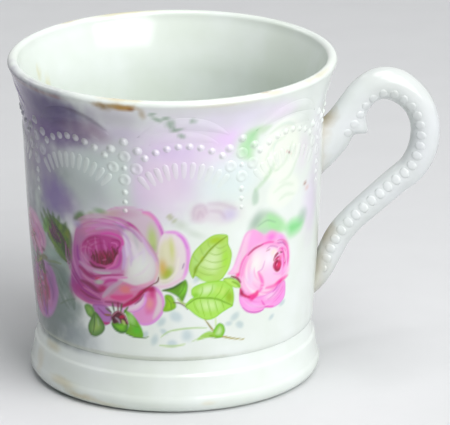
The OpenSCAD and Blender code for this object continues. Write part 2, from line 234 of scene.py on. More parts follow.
def turn_round(outline, sectors):
    """A bmesh of the outline (radius, height) turned about Z, as (end angle, steps) sectors."""
    bm = bmesh.new()
    start = sectors[0][0]
    spine = [bm.verts.new(Vector((r * math.sin(start), -r * math.cos(start), z)) * MM)
             for r, z in outline]
    line = [bm.edges.new(pair) for pair in zip(spine, spine[1:])]
    geometry = spine + line
    for (begin, _), (end, steps) in zip(sectors, sectors[1:]):
        turned = bmesh.ops.spin(bm, geom=geometry, cent=(0, 0, 0), axis=(0, 0, 1),
                                angle=end - begin, steps=steps, use_merge=False)
        geometry = turned["geom_last"]
    return bm


# Rings are closest where the spray of roses lies, and the steps round where it faces the front
SPRAY_LOW_Z, SPRAY_TOP_Z = 24, 58
LOW_STEP, SPRAY_STEP, HIGH_STEP = 0.4, 0.3, 0.55
heights = np.concatenate([
    SHOULDER_Z - SHOULDER_H * np.cos(np.linspace(0, math.pi / 2, 9))[:-1],
    np.arange(SHOULDER_Z, SPRAY_LOW_Z, LOW_STEP),
    np.arange(SPRAY_LOW_Z, SPRAY_TOP_Z, SPRAY_STEP),
    np.arange(SPRAY_TOP_Z, LIP_MID_Z - HIGH_STEP / 2, HIGH_STEP), [LIP_MID_Z]])
lip_turn = np.radians(np.linspace(0, 180, 13))[1:-1]
corner_turn = np.radians(np.linspace(0, 90, 9))
bore_heights = np.concatenate([
    np.linspace(LIP_MID_Z, NECK_Z, 10), np.linspace(NECK_Z, CORNER_Z, 9)[1:-1]])
FLOOR_RING_R = 14
body_outline = (
    [(0, FOOT_H)]
    + [(float(wall_r(z)), z) for z in heights]
    + [(LIP_R - LIP_T / 2 * (1 - math.cos(a)), LIP_MID_Z + LIP_T / 2 * math.sin(a))
       for a in lip_turn]
    + [(float(bore_r(z)), z) for z in bore_heights]
    + [(float(bore_r(CORNER_Z)) - CORNER_R * (1 - math.cos(a)), CORNER_Z - CORNER_R * math.sin(a))
       for a in corner_turn]
    + [(FLOOR_RING_R, FLOOR_Z), (0, FLOOR_Z)]
)
# Where each sector of the wall ends along the print, and into how many steps it is cut
SEAM_ALONG = -66
sector_ends = [(SEAM_ALONG, 0), (-48, 26), (-34, 28), (34, 227), (60, 37),
               (2 * math.pi * FLAT_R + SEAM_ALONG, 100)]
cup_body = finish_piece(
    turn_round(body_outline, [(end / FLAT_R, steps) for end, steps in sector_ends]), "cup_body")


# Rose print
# A transfer of roses, buds and leaves under the glaze, over a ground laid in with a sponge: purple
# by the left of the band, lilac in the middle, grey-green over the shells. It is worked out for
# every point of the wall and of the raised work, so that the colours run on over the pearls.
GLAZE_WHITE = np.array(linear("#e8eeeb"))
# Colours are laid deeper and stronger by this much, because the glaze shines white over them
UNDER_GLAZE, STRONGER = 1.06, 1.25
DARKEST, LIGHTEST = 0.004, 0.95
# A wash has faded out at this many times its half sizes, and its ragged edge has lumps this wide
WASH_REACH, WASH_LUMPS = 1.6, 2.5
# A petal's soft edge is cut off this far past its outline
PETAL_MARGIN = 1.0


def smooth_line(points, closed=False, steps=6):
    """A smooth line through points of two or more values, as an array with a row for each step."""
    p = np.array(points, float)
    n = len(p)
    out = []
    for i in range(n if closed else n - 1):
        if closed:
            a, b, c, d = p[(i - 1) % n], p[i], p[(i + 1) % n], p[(i + 2) % n]
        else:
            a, b, c, d = p[max(0, i - 1)], p[i], p[i + 1], p[min(n - 1, i + 2)]
        for t in np.arange(steps) / steps:
            out.append(b + t * ((c - a) / 2 + t * ((2 * a - 5 * b + 4 * c - d) / 2
                                                  + t * (3 * b - a - 3 * c + d) / 2)))
    if not closed:
        out.append(p[-1])
    return np.array(out)


def ripple(along, z, size, seed):
    """Smooth noise from 0 to 1 with lumps of a size in millimetres.

    The large odd numbers only scatter the corners of its squares, so that none repeats.
    """
    value, weight = 0.0, 0.0
    for octave in range(3):
        k = 2 ** octave / size
        a, b = along * k + seed * 7.31, z * k + seed * 3.77
        i, j = np.floor(a), np.floor(b)
        u, v = a - i, b - j
        u, v = u * u * (3 - 2 * u), v * v * (3 - 2 * v)

        def at(x, y):
            h = np.sin(x * 127.1 + y * 311.7 + seed * 17.3) * 43758.5453
            return h - np.floor(h)

        layer = (at(i, j) * (1 - u) + at(i + 1, j) * u) * (1 - v) \
            + (at(i, j + 1) * (1 - u) + at(i + 1, j + 1) * u) * v
        value = value + layer * 0.5 ** octave
        weight += 0.5 ** octave
    return value / weight


def soft_step(value, low, high):
    """0 below low, 1 above high, and smooth between."""
    t = np.clip((value - low) / (high - low), 0, 1)
    return t * t * (3 - 2 * t)


class Print:
    """Colour laid over points of the wall, one stroke on top of the other."""

    def __init__(self, along, z):
        self.along, self.z = along, z
        self.colour = np.tile(GLAZE_WHITE, (len(along), 1))

    def lay(self, where, cover, colour):
        """Blends a colour over the points at where, by each point's cover from 0 to 1."""
        tint = np.array(linear(colour)) ** UNDER_GLAZE
        tint = np.clip(tint.mean() + STRONGER * (tint - tint.mean()), DARKEST, LIGHTEST)
        self.colour[where] += cover[:, None] * (tint - self.colour[where])

    def near(self, line, margin):
        """The points that lie within a margin of the box round a line of (along, height)."""
        (low_a, low_z), (high_a, high_z) = line.min(0), line.max(0)
        return np.nonzero((self.along > low_a - margin) & (self.along < high_a + margin)
                          & (self.z > low_z - margin) & (self.z < high_z + margin))[0]

    def wash(self, place, size, colour, strength=1.0, turn=0.0, edge=0.0, rough=0.0):
        """A soft patch: place and half sizes, turned anticlockwise; edge 0 is all fade."""
        where = self.near(np.array([place]), max(size) * WASH_REACH)
        a, z = self.along[where] - place[0], self.z[where] - place[1]
        c, s = math.cos(math.radians(turn)), math.sin(math.radians(turn))
        far = np.hypot((a * c + z * s) / size[0], (z * c - a * s) / size[1])
        if rough:
            lumps = ripple(self.along[where], self.z[where], WASH_LUMPS, 5)
            far = far + rough * (lumps - 0.5)
        cover = 1 - soft_step(far, edge, WASH_REACH - (WASH_REACH - 1) * edge)
        self.lay(where, cover * strength, colour)

    def folds(self, centre, radii, turns, colours, width, strength, seed, squash=1.0):
        """Thin curved lines round a point, as a painter shades the petals of a rose."""
        draw = np.random.default_rng(seed)
        for radius in radii:
            start = draw.uniform(turns[0], turns[1] - 25)
            angles = np.radians(np.linspace(start, min(turns[1], start + draw.uniform(30, 75)), 6))
            r = radius + draw.uniform(-0.4, 0.4) + np.linspace(0, draw.uniform(-0.7, 0.7), 6)
            self.stroke(np.column_stack([centre[0] + r * np.cos(angles),
                                         centre[1] + r * squash * np.sin(angles)]),
                        width * draw.uniform(0.6, 1.4), colours[int(draw.integers(len(colours)))],
                        strength * draw.uniform(0.6, 1.2), 0.25, 0.9)

    def strands(self, start, end, spread, count, colours, width, strength, seed):
        """Short brush lines along an axis, scattered to both sides of it."""
        draw = np.random.default_rng(seed)
        start, way = np.array(start, float), np.array(end, float) - start
        side = np.array([-way[1], way[0]]) / np.hypot(*way)
        for _ in range(count):
            first, across = draw.uniform(0, 0.7), draw.uniform(-1, 1)
            reach = draw.uniform(0.2, 0.45)
            line = [start + way * s + side * spread * across * math.sin(math.pi * (0.1 + 0.78 * s))
                    for s in (first, first + reach / 2, min(1.0, first + reach))]
            line[1] = line[1] + side * draw.uniform(-0.4, 0.4)
            self.stroke(line, width * draw.uniform(0.6, 1.4),
                        colours[int(draw.integers(len(colours)))], strength, 0.25, 0.8)

    def distance(self, where, line, closed):
        """Distance to a line, the place along it from 0 to 1, and whether it lies inside."""
        a, z = self.along[where][:, None], self.z[where][:, None]
        start = line if closed else line[:-1]
        end = np.roll(line, -1, axis=0) if closed else line[1:]
        d = end - start
        length = np.maximum((d ** 2).sum(1), 1e-9)
        t = np.clip(((a - start[:, 0]) * d[:, 0] + (z - start[:, 1]) * d[:, 1]) / length, 0, 1)
        gap = np.hypot(a - start[:, 0] - t * d[:, 0], z - start[:, 1] - t * d[:, 1])
        best = gap.argmin(1)
        row = np.arange(len(where))
        place = (best + t[row, best]) / len(start)
        crossed = ((start[:, 1] > z) != (end[:, 1] > z)) & (
            a < start[:, 0] + (z - start[:, 1]) * d[:, 0]
            / np.where(np.abs(d[:, 1]) < 1e-9, 1e-9, d[:, 1]))
        return gap[row, best], place, crossed.sum(1) % 2 == 1

    def petal(self, points, colour, strength=1.0, soft=0.3, edge=None, edge_w=0.8, core=None):
        """A filled shape with a soft outline, and a darker or lighter edge and core if given."""
        line = smooth_line(points, closed=True)
        where = self.near(line, PETAL_MARGIN)
        if not len(where):
            return
        gap, _, inside = self.distance(where, line, True)
        depth = np.where(inside, gap, -gap)
        cover = soft_step(depth, -soft, soft) * strength
        self.lay(where, cover, colour)
        if core:
            deepest = max(depth.max(), 0.1)
            self.lay(where, cover * soft_step(depth, 0.25 * deepest, 0.95 * deepest), core)
        if edge:
            self.lay(where, cover * (1 - soft_step(depth, 0, edge_w)), edge)

    def stroke(self, points, width, colour, strength=1.0, soft=0.25, taper=0.5):
        """A brush line of a full width, thinner towards both ends by the taper."""
        line = smooth_line(points)
        where = self.near(line, width + soft)
        if not len(where):
            return
        gap, place, _ = self.distance(where, line, False)
        half = width / 2 * (1 - taper * np.abs(2 * place - 1) ** 2)
        cover = 1 - soft_step(gap, half - soft, half + soft)
        self.lay(where, cover * strength, colour)


def ground(p):
    """The sponged ground behind the flowers."""
    # Grey-green over the shells, and a cloudy lilac between and below them
    p.wash((-20, 68), (30, 16), "#d3cddd", 0.8, edge=0.35, rough=0.3)
    p.wash((-29, 64), (11, 10), "#b4c0ba", 0.7, edge=0.2, rough=0.4)
    p.wash((-24, 70), (8, 5), "#d2dcda", 0.75, edge=0.2)
    p.wash((-17, 67), (4.5, 11), "#d8e2de", 0.8, edge=0.2, rough=0.3)
    p.wash((-11, 64), (3, 8), "#dccde6", 0.6, edge=0.2)
    p.wash((-50, 38), (14, 24), "#97a59f", 0.8, edge=0.3, rough=0.3)
    # Purple along the left of the band, thinner where it runs down to the flowers
    p.wash((-52, 68), (11, 9), "#94889f", 0.8, edge=0.2, rough=0.3)
    p.wash((-57, 60), (7, 5), "#b4b6b6", 0.5, edge=0.1, rough=0.4)
    p.wash((-54, 46), (9, 8), "#8d869a", 0.6, edge=0.1, rough=0.4)
    p.wash((-41, 61), (7.5, 14), "#7c8783", 0.6, edge=0.2, rough=0.4)
    p.wash((-57, 62), (8.5, 24), "#574e70", 0.55, edge=0.2, rough=0.3)
    p.wash((-43, 66), (5.5, 12), "#9d8fb4", 0.6, edge=0.15, rough=0.35)
    p.wash((-39, 57.5), (6.5, 6), "#8a74ae", 0.75, edge=0.25, rough=0.4)
    p.wash((-33, 56), (4, 5), "#9f8bb2", 0.5, edge=0.1)
    p.wash((-47, 81), (21, 8.5), "#75638f", 0.9, edge=0.45, rough=0.3)
    p.wash((-40, 76.6), (14, 4), "#715a8c", 0.8, edge=0.3, rough=0.3)
    p.wash((-37, 83.4), (13, 6), "#4d3e72", 0.85, edge=0.25, rough=0.3)
    p.wash((-61, 80), (8, 9), "#9a8fae", 0.6, edge=0.2, rough=0.4)
    p.wash((-28, 79), (7, 3.4), "#8d7a92", 0.6, edge=0.2, rough=0.3)
    p.wash((-23, 79.4), (4.5, 2.4), "#a796a8", 0.6, turn=-25, edge=0.1, rough=0.3)
    p.wash((-17, 84.6), (8, 3), "#c9c6cf", 0.8, turn=-8, edge=0.2, rough=0.3)
    p.stroke([(-31, 85.2), (-27, 84.3), (-23.5, 82.6), (-20.4, 80.4)], 1.1, "#5f5464", 0.5, 0.6)
    p.wash((-16, 80), (5, 2.6), "#cfc4dc", 0.6, edge=0.1)
    # Lilac in the middle of the band
    p.wash((2, 76), (15, 9), "#e8d9ef", 0.7, edge=0.25, rough=0.3)
    p.wash((-5, 66), (8, 9), "#e8d6ea", 0.7, edge=0.2, rough=0.3)
    p.wash((-3, 74.6), (7, 2.6), "#dccbe9", 0.6, edge=0.1, rough=0.3)
    p.wash((0.5, 69), (3, 6), "#e0d0ec", 0.4, edge=0.1)
    p.wash((11.5, 78), (4.5, 4), "#ecd3f6", 0.85, edge=0.1, rough=0.3)
    p.wash((14, 84), (17, 4), "#e4dcf0", 0.7, edge=0.2, rough=0.2)
    p.wash((27, 83), (5, 3), "#f0e0f4", 0.5)
    p.wash((0, 87), (26, 2), "#dcd8e2", 0.5, edge=0.3, rough=0.3)
    # Left white by the shells and on the right
    p.wash((13, 66), (9, 6.5), "#e6eff2", 0.85, edge=0.2, rough=0.3)
    p.wash((44, 52), (5, 10), "#e0d0ea", 0.6, edge=0.1, rough=0.3)
    p.wash((38, 69), (3.5, 5), "#ead9f0", 0.5)
    p.wash((48, 68), (5, 12), "#e3dcea", 0.5, rough=0.3)


def faint_flowers(p):
    """White flowers, pale leaves and a mauve rose behind the main ones, and dark washes at the
    lower left that are partly painted shade.
    """
    p.wash((28, 72), (9, 9), "#f0f4f1", 0.75, edge=0.3)
    p.petal([(15, 72.5), (15.5, 76.5), (17.5, 79.5), (20.8, 79.8), (20, 76), (19, 73), (18.8, 71)],
            "#bddcb9", 0.8, soft=1.1, core="#a4d3a4")
    p.petal([(20.5, 80), (24.5, 79.6), (21.5, 77.8)], "#c8dcc2", 0.7, soft=0.9)
    p.petal([(19.3, 58), (18.9, 60.2), (19.8, 62.6), (20.9, 61), (20.8, 58.5)], "#bccfc2", 0.8,
            soft=0.7)
    p.petal([(24, 58), (25, 62), (30, 64.5), (35, 62.5), (36, 58.5), (31, 55.5), (27, 55.5)],
            "#f1f5ee", 0.8, soft=1.2)
    p.petal([(22, 66), (21.5, 72), (24, 78), (29, 80.5), (34, 78), (36, 72), (34, 66), (29, 63)],
            "#f4f7f1", 0.8, soft=1.4)
    for points in ([(23, 70), (26, 74), (30, 75)], [(26, 66), (30, 68), (33, 73)],
                   [(24, 77), (28, 79), (33, 78)], [(28, 62.4), (32, 63.5), (35, 67)],
                   [(26, 60), (30, 61.5), (34, 60.4)], [(28, 57.4), (31, 58.4), (34.6, 57.6)],
                   [(22.6, 64), (25, 66.4), (25.6, 69.6)]):
        p.stroke(points, 1.1, "#d4e2d2", 0.45, 0.5, 0.8)
    p.folds((29, 72), np.arange(3, 8, 0.5), (0, 360), ("#d6e4d4", "#ffffff", "#dfe9e4"), 0.7, 0.5,
            61)
    # Green leaves under the white rose
    p.petal([(18, 49.5), (19.4, 53), (22.4, 55.6), (25.6, 54.8), (29, 51.6), (29, 49), (24, 48)],
            "#a9c0ab", 0.7, soft=1.4, core="#b9dfb4")
    p.petal([(24, 54), (27, 53.4), (31, 50.4), (31, 48), (26, 48.6)], "#abdea6", 0.75, soft=1.2)
    p.wash((20.2, 53.4), (1.8, 3), "#93a89c", 0.55, turn=-35, rough=0.3)
    p.petal([(31, 48.6), (33, 50.6), (37, 50.4), (40, 48.6), (38, 46), (33, 45.6)], "#a5dca8", 0.8,
            soft=1.2, core="#8ed494")
    p.wash((38.8, 50.2), (2.6, 2.2), "#9ab8a4", 0.6, rough=0.3)
    p.wash((16.8, 75.4), (3.6, 3.6), "#c3e2c1", 0.6, edge=0.1, rough=0.3)
    p.stroke([(20, 62), (23, 64.6), (26, 68)], 1.4, "#bcd6ba", 0.5, 0.6)
    p.stroke([(21, 51.6), (24, 52.6), (27, 51.4)], 0.5, "#8fae94", 0.5, 0.3)
    p.wash((31.6, 70.3), (0.5, 0.45), "#8c2434", 1.0, edge=0.2)
    for a, z in ((30.8, 70.7), (32.5, 69.8)):
        p.wash((a, z), (0.35, 0.25), "#d77a86", 0.6)
    p.wash((39.7, 59.2), (0.9, 0.6), "#a2705e", 0.8)
    p.wash((41, 57.6), (1.2, 0.8), "#dcb9ae", 0.5)
    # Sprig below the lip
    for place, size, turn in (((-6.6, 84.8), (1.7, 0.7), -25), ((-3.4, 83.6), (1.3, 1.2), 40),
                              ((-4.6, 85.2), (1.2, 0.6), 10), ((-1.8, 81.6), (1.8, 0.6), 15),
                              ((-2.9, 82.3), (1.1, 0.7), -50), ((2.2, 84.2), (0.8, 0.9), 0),
                              ((-7.8, 86.4), (1.2, 0.5), 10), ((-0.6, 79.8), (0.8, 1.2), 60)):
        p.wash(place, size, "#8da491", 0.75, turn, edge=0.2, rough=0.3)
    # Mauve rose behind
    p.wash((9, 57), (6.8, 3.4), "#ddd5dd", 0.8, turn=-8, edge=0.3, rough=0.3)
    p.wash((4, 57.4), (2.6, 2.6), "#d6c3d0", 0.6, edge=0.2, rough=0.3)
    p.wash((12.4, 56.4), (2.4, 2), "#cdc2e4", 0.6)
    for points in ([(2.4, 56), (2.8, 59), (5, 59.6), (6, 57.6)],
                   [(3.4, 56), (4.2, 57.8), (5, 56.6)],
                   [(6.4, 60), (10, 59.6), (14, 57.8)], [(7, 58), (9.6, 57.4), (11, 55.6)]):
        p.stroke(points, 1.1, "#c2adc0", 0.4, 0.6)
    for a, z in ((-3.5, 56.4), (-2.6, 55.6), (-4, 57)):
        p.wash((a, z), (0.9, 0.5), "#a9ad80", 0.6, turn=40, rough=0.4)
    p.wash((-1, 54.4), (2.4, 1.3), "#c7cfc3", 0.6, turn=-30, rough=0.3)
    p.wash((3, 51.6), (2.8, 1.1), "#cdd5cc", 0.6, turn=-25, rough=0.3)
    # Shadow leaves low on the wall
    for a, z, w, h, turn in ((-8.5, 21, 1.8, 1.1, 70), (-6.4, 26.4, 1.7, 1.1, 50),
                             (-3.6, 20, 1.4, 1.2, 0), (0.6, 22.4, 1.7, 2.0, 20),
                             (-2.6, 28, 1.6, 2.0, 60), (-5.8, 23.6, 1.3, 0.8, -30),
                             (14.4, 26.6, 1.7, 1.1, 40), (16, 24, 1.4, 1.0, -30),
                             (12.6, 24.8, 1.2, 0.8, 0), (3.6, 39, 1.6, 1.0, 50),
                             (-10.5, 27.4, 1.2, 0.9, 20), (-11, 22.5, 1.2, 0.8, 60),
                             (27, 24, 1.2, 0.8, 30), (31, 27, 1.4, 0.8, 20)):
        p.wash((a, z), (w, h), "#c2d0d4", 0.75, turn, edge=0.3, rough=0.4)
    # Dark grey-green washes at the lower left: printed leaf shadows, deepened with painted shade
    # towards the waist and the left edge
    p.wash((-45, 20), (14, 9), "#646f70", 0.85, turn=10, edge=0.2, rough=0.4)
    p.wash((-33, 18), (8, 5), "#929ba0", 0.6, edge=0.1, rough=0.4)
    p.wash((-40, 34), (7, 10), "#626f6c", 0.8, edge=0.25, rough=0.4)
    p.wash((-36, 43), (4.6, 7), "#6f7d74", 0.75, edge=0.25, rough=0.4)
    p.petal([(-42, 22), (-41.5, 26), (-37.5, 28), (-32, 29.4), (-30.5, 27), (-33.5, 23.6),
             (-38, 21.2)], "#7b8885", 0.75, soft=1.7)
    p.petal([(-41, 33), (-39.5, 36.6), (-36, 37), (-33.8, 34.5), (-34.5, 31), (-38, 30.4)],
            "#73837f", 0.75, soft=1.6)
    p.stroke([(-33, 29.6), (-36, 28.6), (-39.5, 26.6)], 0.5, "#5c6a52", 0.7, 0.3)
    p.wash((-41.5, 40.6), (3.6, 1.8), "#9fb3ac", 0.7, turn=10)
    p.wash((-37, 39), (3, 1.2), "#a5b5ae", 0.6)


def left_roses(p):
    """The roses and the closed bud at the left end of the spray, with painted shade laid over that
    end.
    """
    p.petal([(-62, 44), (-57, 49.4), (-51, 49.8), (-47.5, 47.6), (-45, 44.5), (-45.6, 41.2),
             (-49, 39.2), (-54, 40.2), (-60, 40.6)], "#d09abd", 0.85, soft=0.9, core="#c486ac")
    for points, width, colour, strength in (
            ([(-61, 45.6), (-56, 47.6), (-50, 47.4)], 1.6, "#dcb4d0", 0.7),
            ([(-60, 43), (-56, 45.4), (-51, 46.2), (-47.6, 44.6)], 1.0, "#b36d9c", 0.6),
            ([(-58.5, 40.6), (-55.4, 42.2), (-52.6, 43.8), (-50, 44.6)], 2.2, "#cc5683", 0.85),
            ([(-54.4, 42.2), (-52, 43.4), (-50.6, 43.6)], 1.3, "#7a2a55", 0.9),
            ([(-57, 42.6), (-55.4, 43.6)], 0.7, "#9c3a68", 0.7),
            ([(-52, 41.4), (-49, 42.6), (-47, 42.2)], 1.0, "#d7a3c6", 0.7),
            ([(-49.5, 46.2), (-47, 44), (-46.4, 41.8)], 1.0, "#a06a9a", 0.6),
            ([(-52.5, 38.4), (-50, 39.8), (-46.4, 40.4)], 1.8, "#67304c", 0.8)):
        p.stroke(points, width, colour, strength, 0.5)
    p.petal([(-60, 29), (-55, 33.4), (-51, 35.8), (-46.5, 37), (-42.6, 35.6), (-40.4, 31),
             (-41.6, 26.4), (-45, 22), (-50, 20), (-56, 21), (-60, 25)], "#b873a4", 0.88, soft=0.9,
            edge="#b38cbc", edge_w=2.2, core="#bb6294")
    p.wash((-43.6, 30.6), (2.6, 5), "#9768a6", 0.6, edge=0.1)
    p.wash((-54.6, 29.6), (3, 2.6), "#c9527e", 0.75, edge=0.1)
    p.wash((-58.5, 27), (3, 3), "#cf92b4", 0.6)
    p.wash((-48.5, 22.8), (3.4, 1.6), "#bb84cc", 0.8, turn=10)
    for points, width, colour, strength in (
            ([(-58, 31), (-54, 32.4), (-50.6, 32.6)], 1.2, "#d9a3c0", 0.6),
            ([(-53.5, 25.6), (-50, 27.6), (-47.2, 27.4)], 2.2, "#a32c69", 0.85),
            ([(-57, 24.6), (-53.6, 27.4), (-51, 29)], 0.9, "#d58fb6", 0.7),
            ([(-52.6, 29.2), (-50, 30.4), (-46.6, 32.4)], 1.1, "#4a2340", 0.85),
            ([(-50.8, 28.2), (-48, 29), (-46.4, 28.2)], 1.0, "#532646", 0.8),
            ([(-50.4, 34), (-48, 33.6), (-45.4, 34.2)], 1.3, "#7d3a6c", 0.75),
            ([(-49, 35.6), (-46, 35.6), (-43.4, 33.4)], 0.9, "#c596c8", 0.6),
            ([(-46.4, 30.6), (-44.6, 28.4), (-45, 25)], 0.9, "#c08ac2", 0.6),
            ([(-45, 32.6), (-43, 29.6), (-43.4, 26.6)], 0.8, "#7f4a88", 0.6),
            ([(-50.4, 31.2), (-48.2, 31.7)], 0.8, "#c9c0c8", 0.7),
            ([(-56, 23.6), (-52, 22), (-47, 21.2)], 1.2, "#a3559a", 0.6),
            ([(-50, 25.6), (-47.6, 25), (-45.6, 26)], 0.8, "#d193bc", 0.6)):
        p.stroke(points, width, colour, strength, 0.45)
    p.strands((-54, 37), (-49, 20.5), 6.4, 40, ("#a5245e", "#6e1540", "#c2407e", "#d58fb6",
              "#8d4ba2", "#b85fa8", "#8a1c4c"), 1.7, 0.6, 71)
    p.strands((-60, 49), (-48, 38), 4.4, 30, ("#b8437e", "#e0a9cb", "#7a1c3e", "#cf7fae",
              "#a5305f", "#c58ab8"), 1.5, 0.6, 73)
    p.strands((-52.5, 40), (-47, 33), 2.2, 16, ("#3f5a22", "#4a2438", "#6c7a34"), 1.0, 0.85, 75)
    # Sepals and a tendril between them
    p.stroke([(-53, 35.2), (-50.4, 36.6), (-47, 38.2), (-45, 38.4)], 1.7, "#6c6c32", 0.9, 0.4)
    p.stroke([(-50.6, 36), (-48.6, 37.4)], 0.8, "#a2a354", 0.7, 0.3)
    p.stroke([(-47, 38), (-44, 37.8), (-41, 38.4), (-38, 38.6)], 0.7, "#74835a", 0.75, 0.3)
    p.stroke([(-45, 36.6), (-42, 37), (-39, 36.6)], 0.5, "#6e7466", 0.6, 0.3)
    # The bud, dark purple in its green sepals
    p.petal([(-46, 48), (-44.4, 50.4), (-41.6, 50.4), (-41, 48), (-43, 46.2), (-45.4, 46)],
            "#6c9a4e", 0.9, soft=0.5, core="#558038")
    p.petal([(-43.8, 45.6), (-42, 48), (-39, 50.2), (-36, 50.6), (-33.6, 49.2), (-32.8, 46),
             (-33.4, 43), (-35.4, 41.2), (-38.4, 42), (-41.4, 43.6)], "#4c6a36", 0.95, soft=0.5)
    p.wash((-35, 47.6), (1.6, 2.6), "#74822e", 0.85, edge=0.2)
    p.wash((-38.6, 43.8), (3, 1.2), "#2f4a26", 0.85, turn=-12, edge=0.2)
    p.stroke([(-36.4, 42), (-35, 44), (-34.4, 46.6)], 0.7, "#2c4720", 0.7, 0.3)
    p.petal([(-43.6, 46), (-41.6, 47.4), (-39.6, 49), (-37.4, 49), (-37.2, 47.4), (-39.4, 46.6),
             (-41.8, 45.6)], "#57304f", 0.9, soft=0.4, edge="#7d5478", edge_w=0.5)
    p.stroke([(-42.4, 46.2), (-40.4, 47.4)], 0.7, "#2e1226", 0.9, 0.3)
    p.stroke([(-39.6, 47.6), (-38, 48.2)], 0.6, "#35152c", 0.8, 0.3)
    p.strands((-43, 52), (-33.8, 40), 3.6, 70, ("#3d5426", "#5d7a34", "#2f4420", "#6f8a3c",
              "#4a3a38", "#557038"), 0.8, 0.8, 81)
    p.strands((-43, 51), (-37.4, 44.6), 2.0, 26, ("#4e2440", "#2e1226", "#6d3c5c", "#3c1c34"), 0.7,
              0.85, 83)
    for tip, root in (((-45.4, 52.8), (-43, 49.6)), ((-43, 53.2), (-41.4, 49.6)),
                      ((-40.4, 53), (-40, 49.6)), ((-37.6, 52.6), (-38.6, 49)),
                      ((-47, 51), (-44.6, 48)), ((-34.8, 51.4), (-36.4, 48))):
        p.stroke([tip, root], 1.5, "#44602c", 0.7, 0.5, 0.8)
    p.strands((-40, 36), (-34, 26), 3.4, 26, ("#6b7b76", "#8e9b92", "#5f6f66"), 1.3, 0.3, 85)
    # Small leaves above the big rose
    p.wash((-29.6, 54.3), (2.2, 1.5), "#647f52", 0.9, turn=15, edge=0.3, rough=0.4)
    p.wash((-31, 53.4), (1.2, 0.8), "#5b6b4a", 0.8, turn=30)
    p.wash((-22.8, 56.8), (2.4, 1.1), "#8ea583", 0.8, turn=-8, edge=0.3, rough=0.4)
    p.wash((-26, 55.8), (1.5, 0.7), "#a3ad8a", 0.6, turn=20)
    # Painted shade over the left end of the spray: a dark wash that deepens everything there, then
    # crimson strokes and a purple wash over the roses
    p.wash((-60, 32), (11, 20), "#45283f", 0.6, edge=0.15, rough=0.3)
    for points in ([(-57, 44), (-54, 42.4), (-51.4, 40.4)],
                   [(-55.6, 31), (-53, 27), (-51.4, 22.6)],
                   [(-52, 33), (-50.6, 28), (-49.8, 24)],
                   [(-47.6, 33), (-46.4, 29), (-46.6, 25.4)]):
        p.stroke(points, 1.4, "#741a3e", 0.75, 0.4, 0.8)
    p.wash((-44.6, 34), (2.4, 5), "#6b4a7c", 0.45, turn=15, rough=0.3)


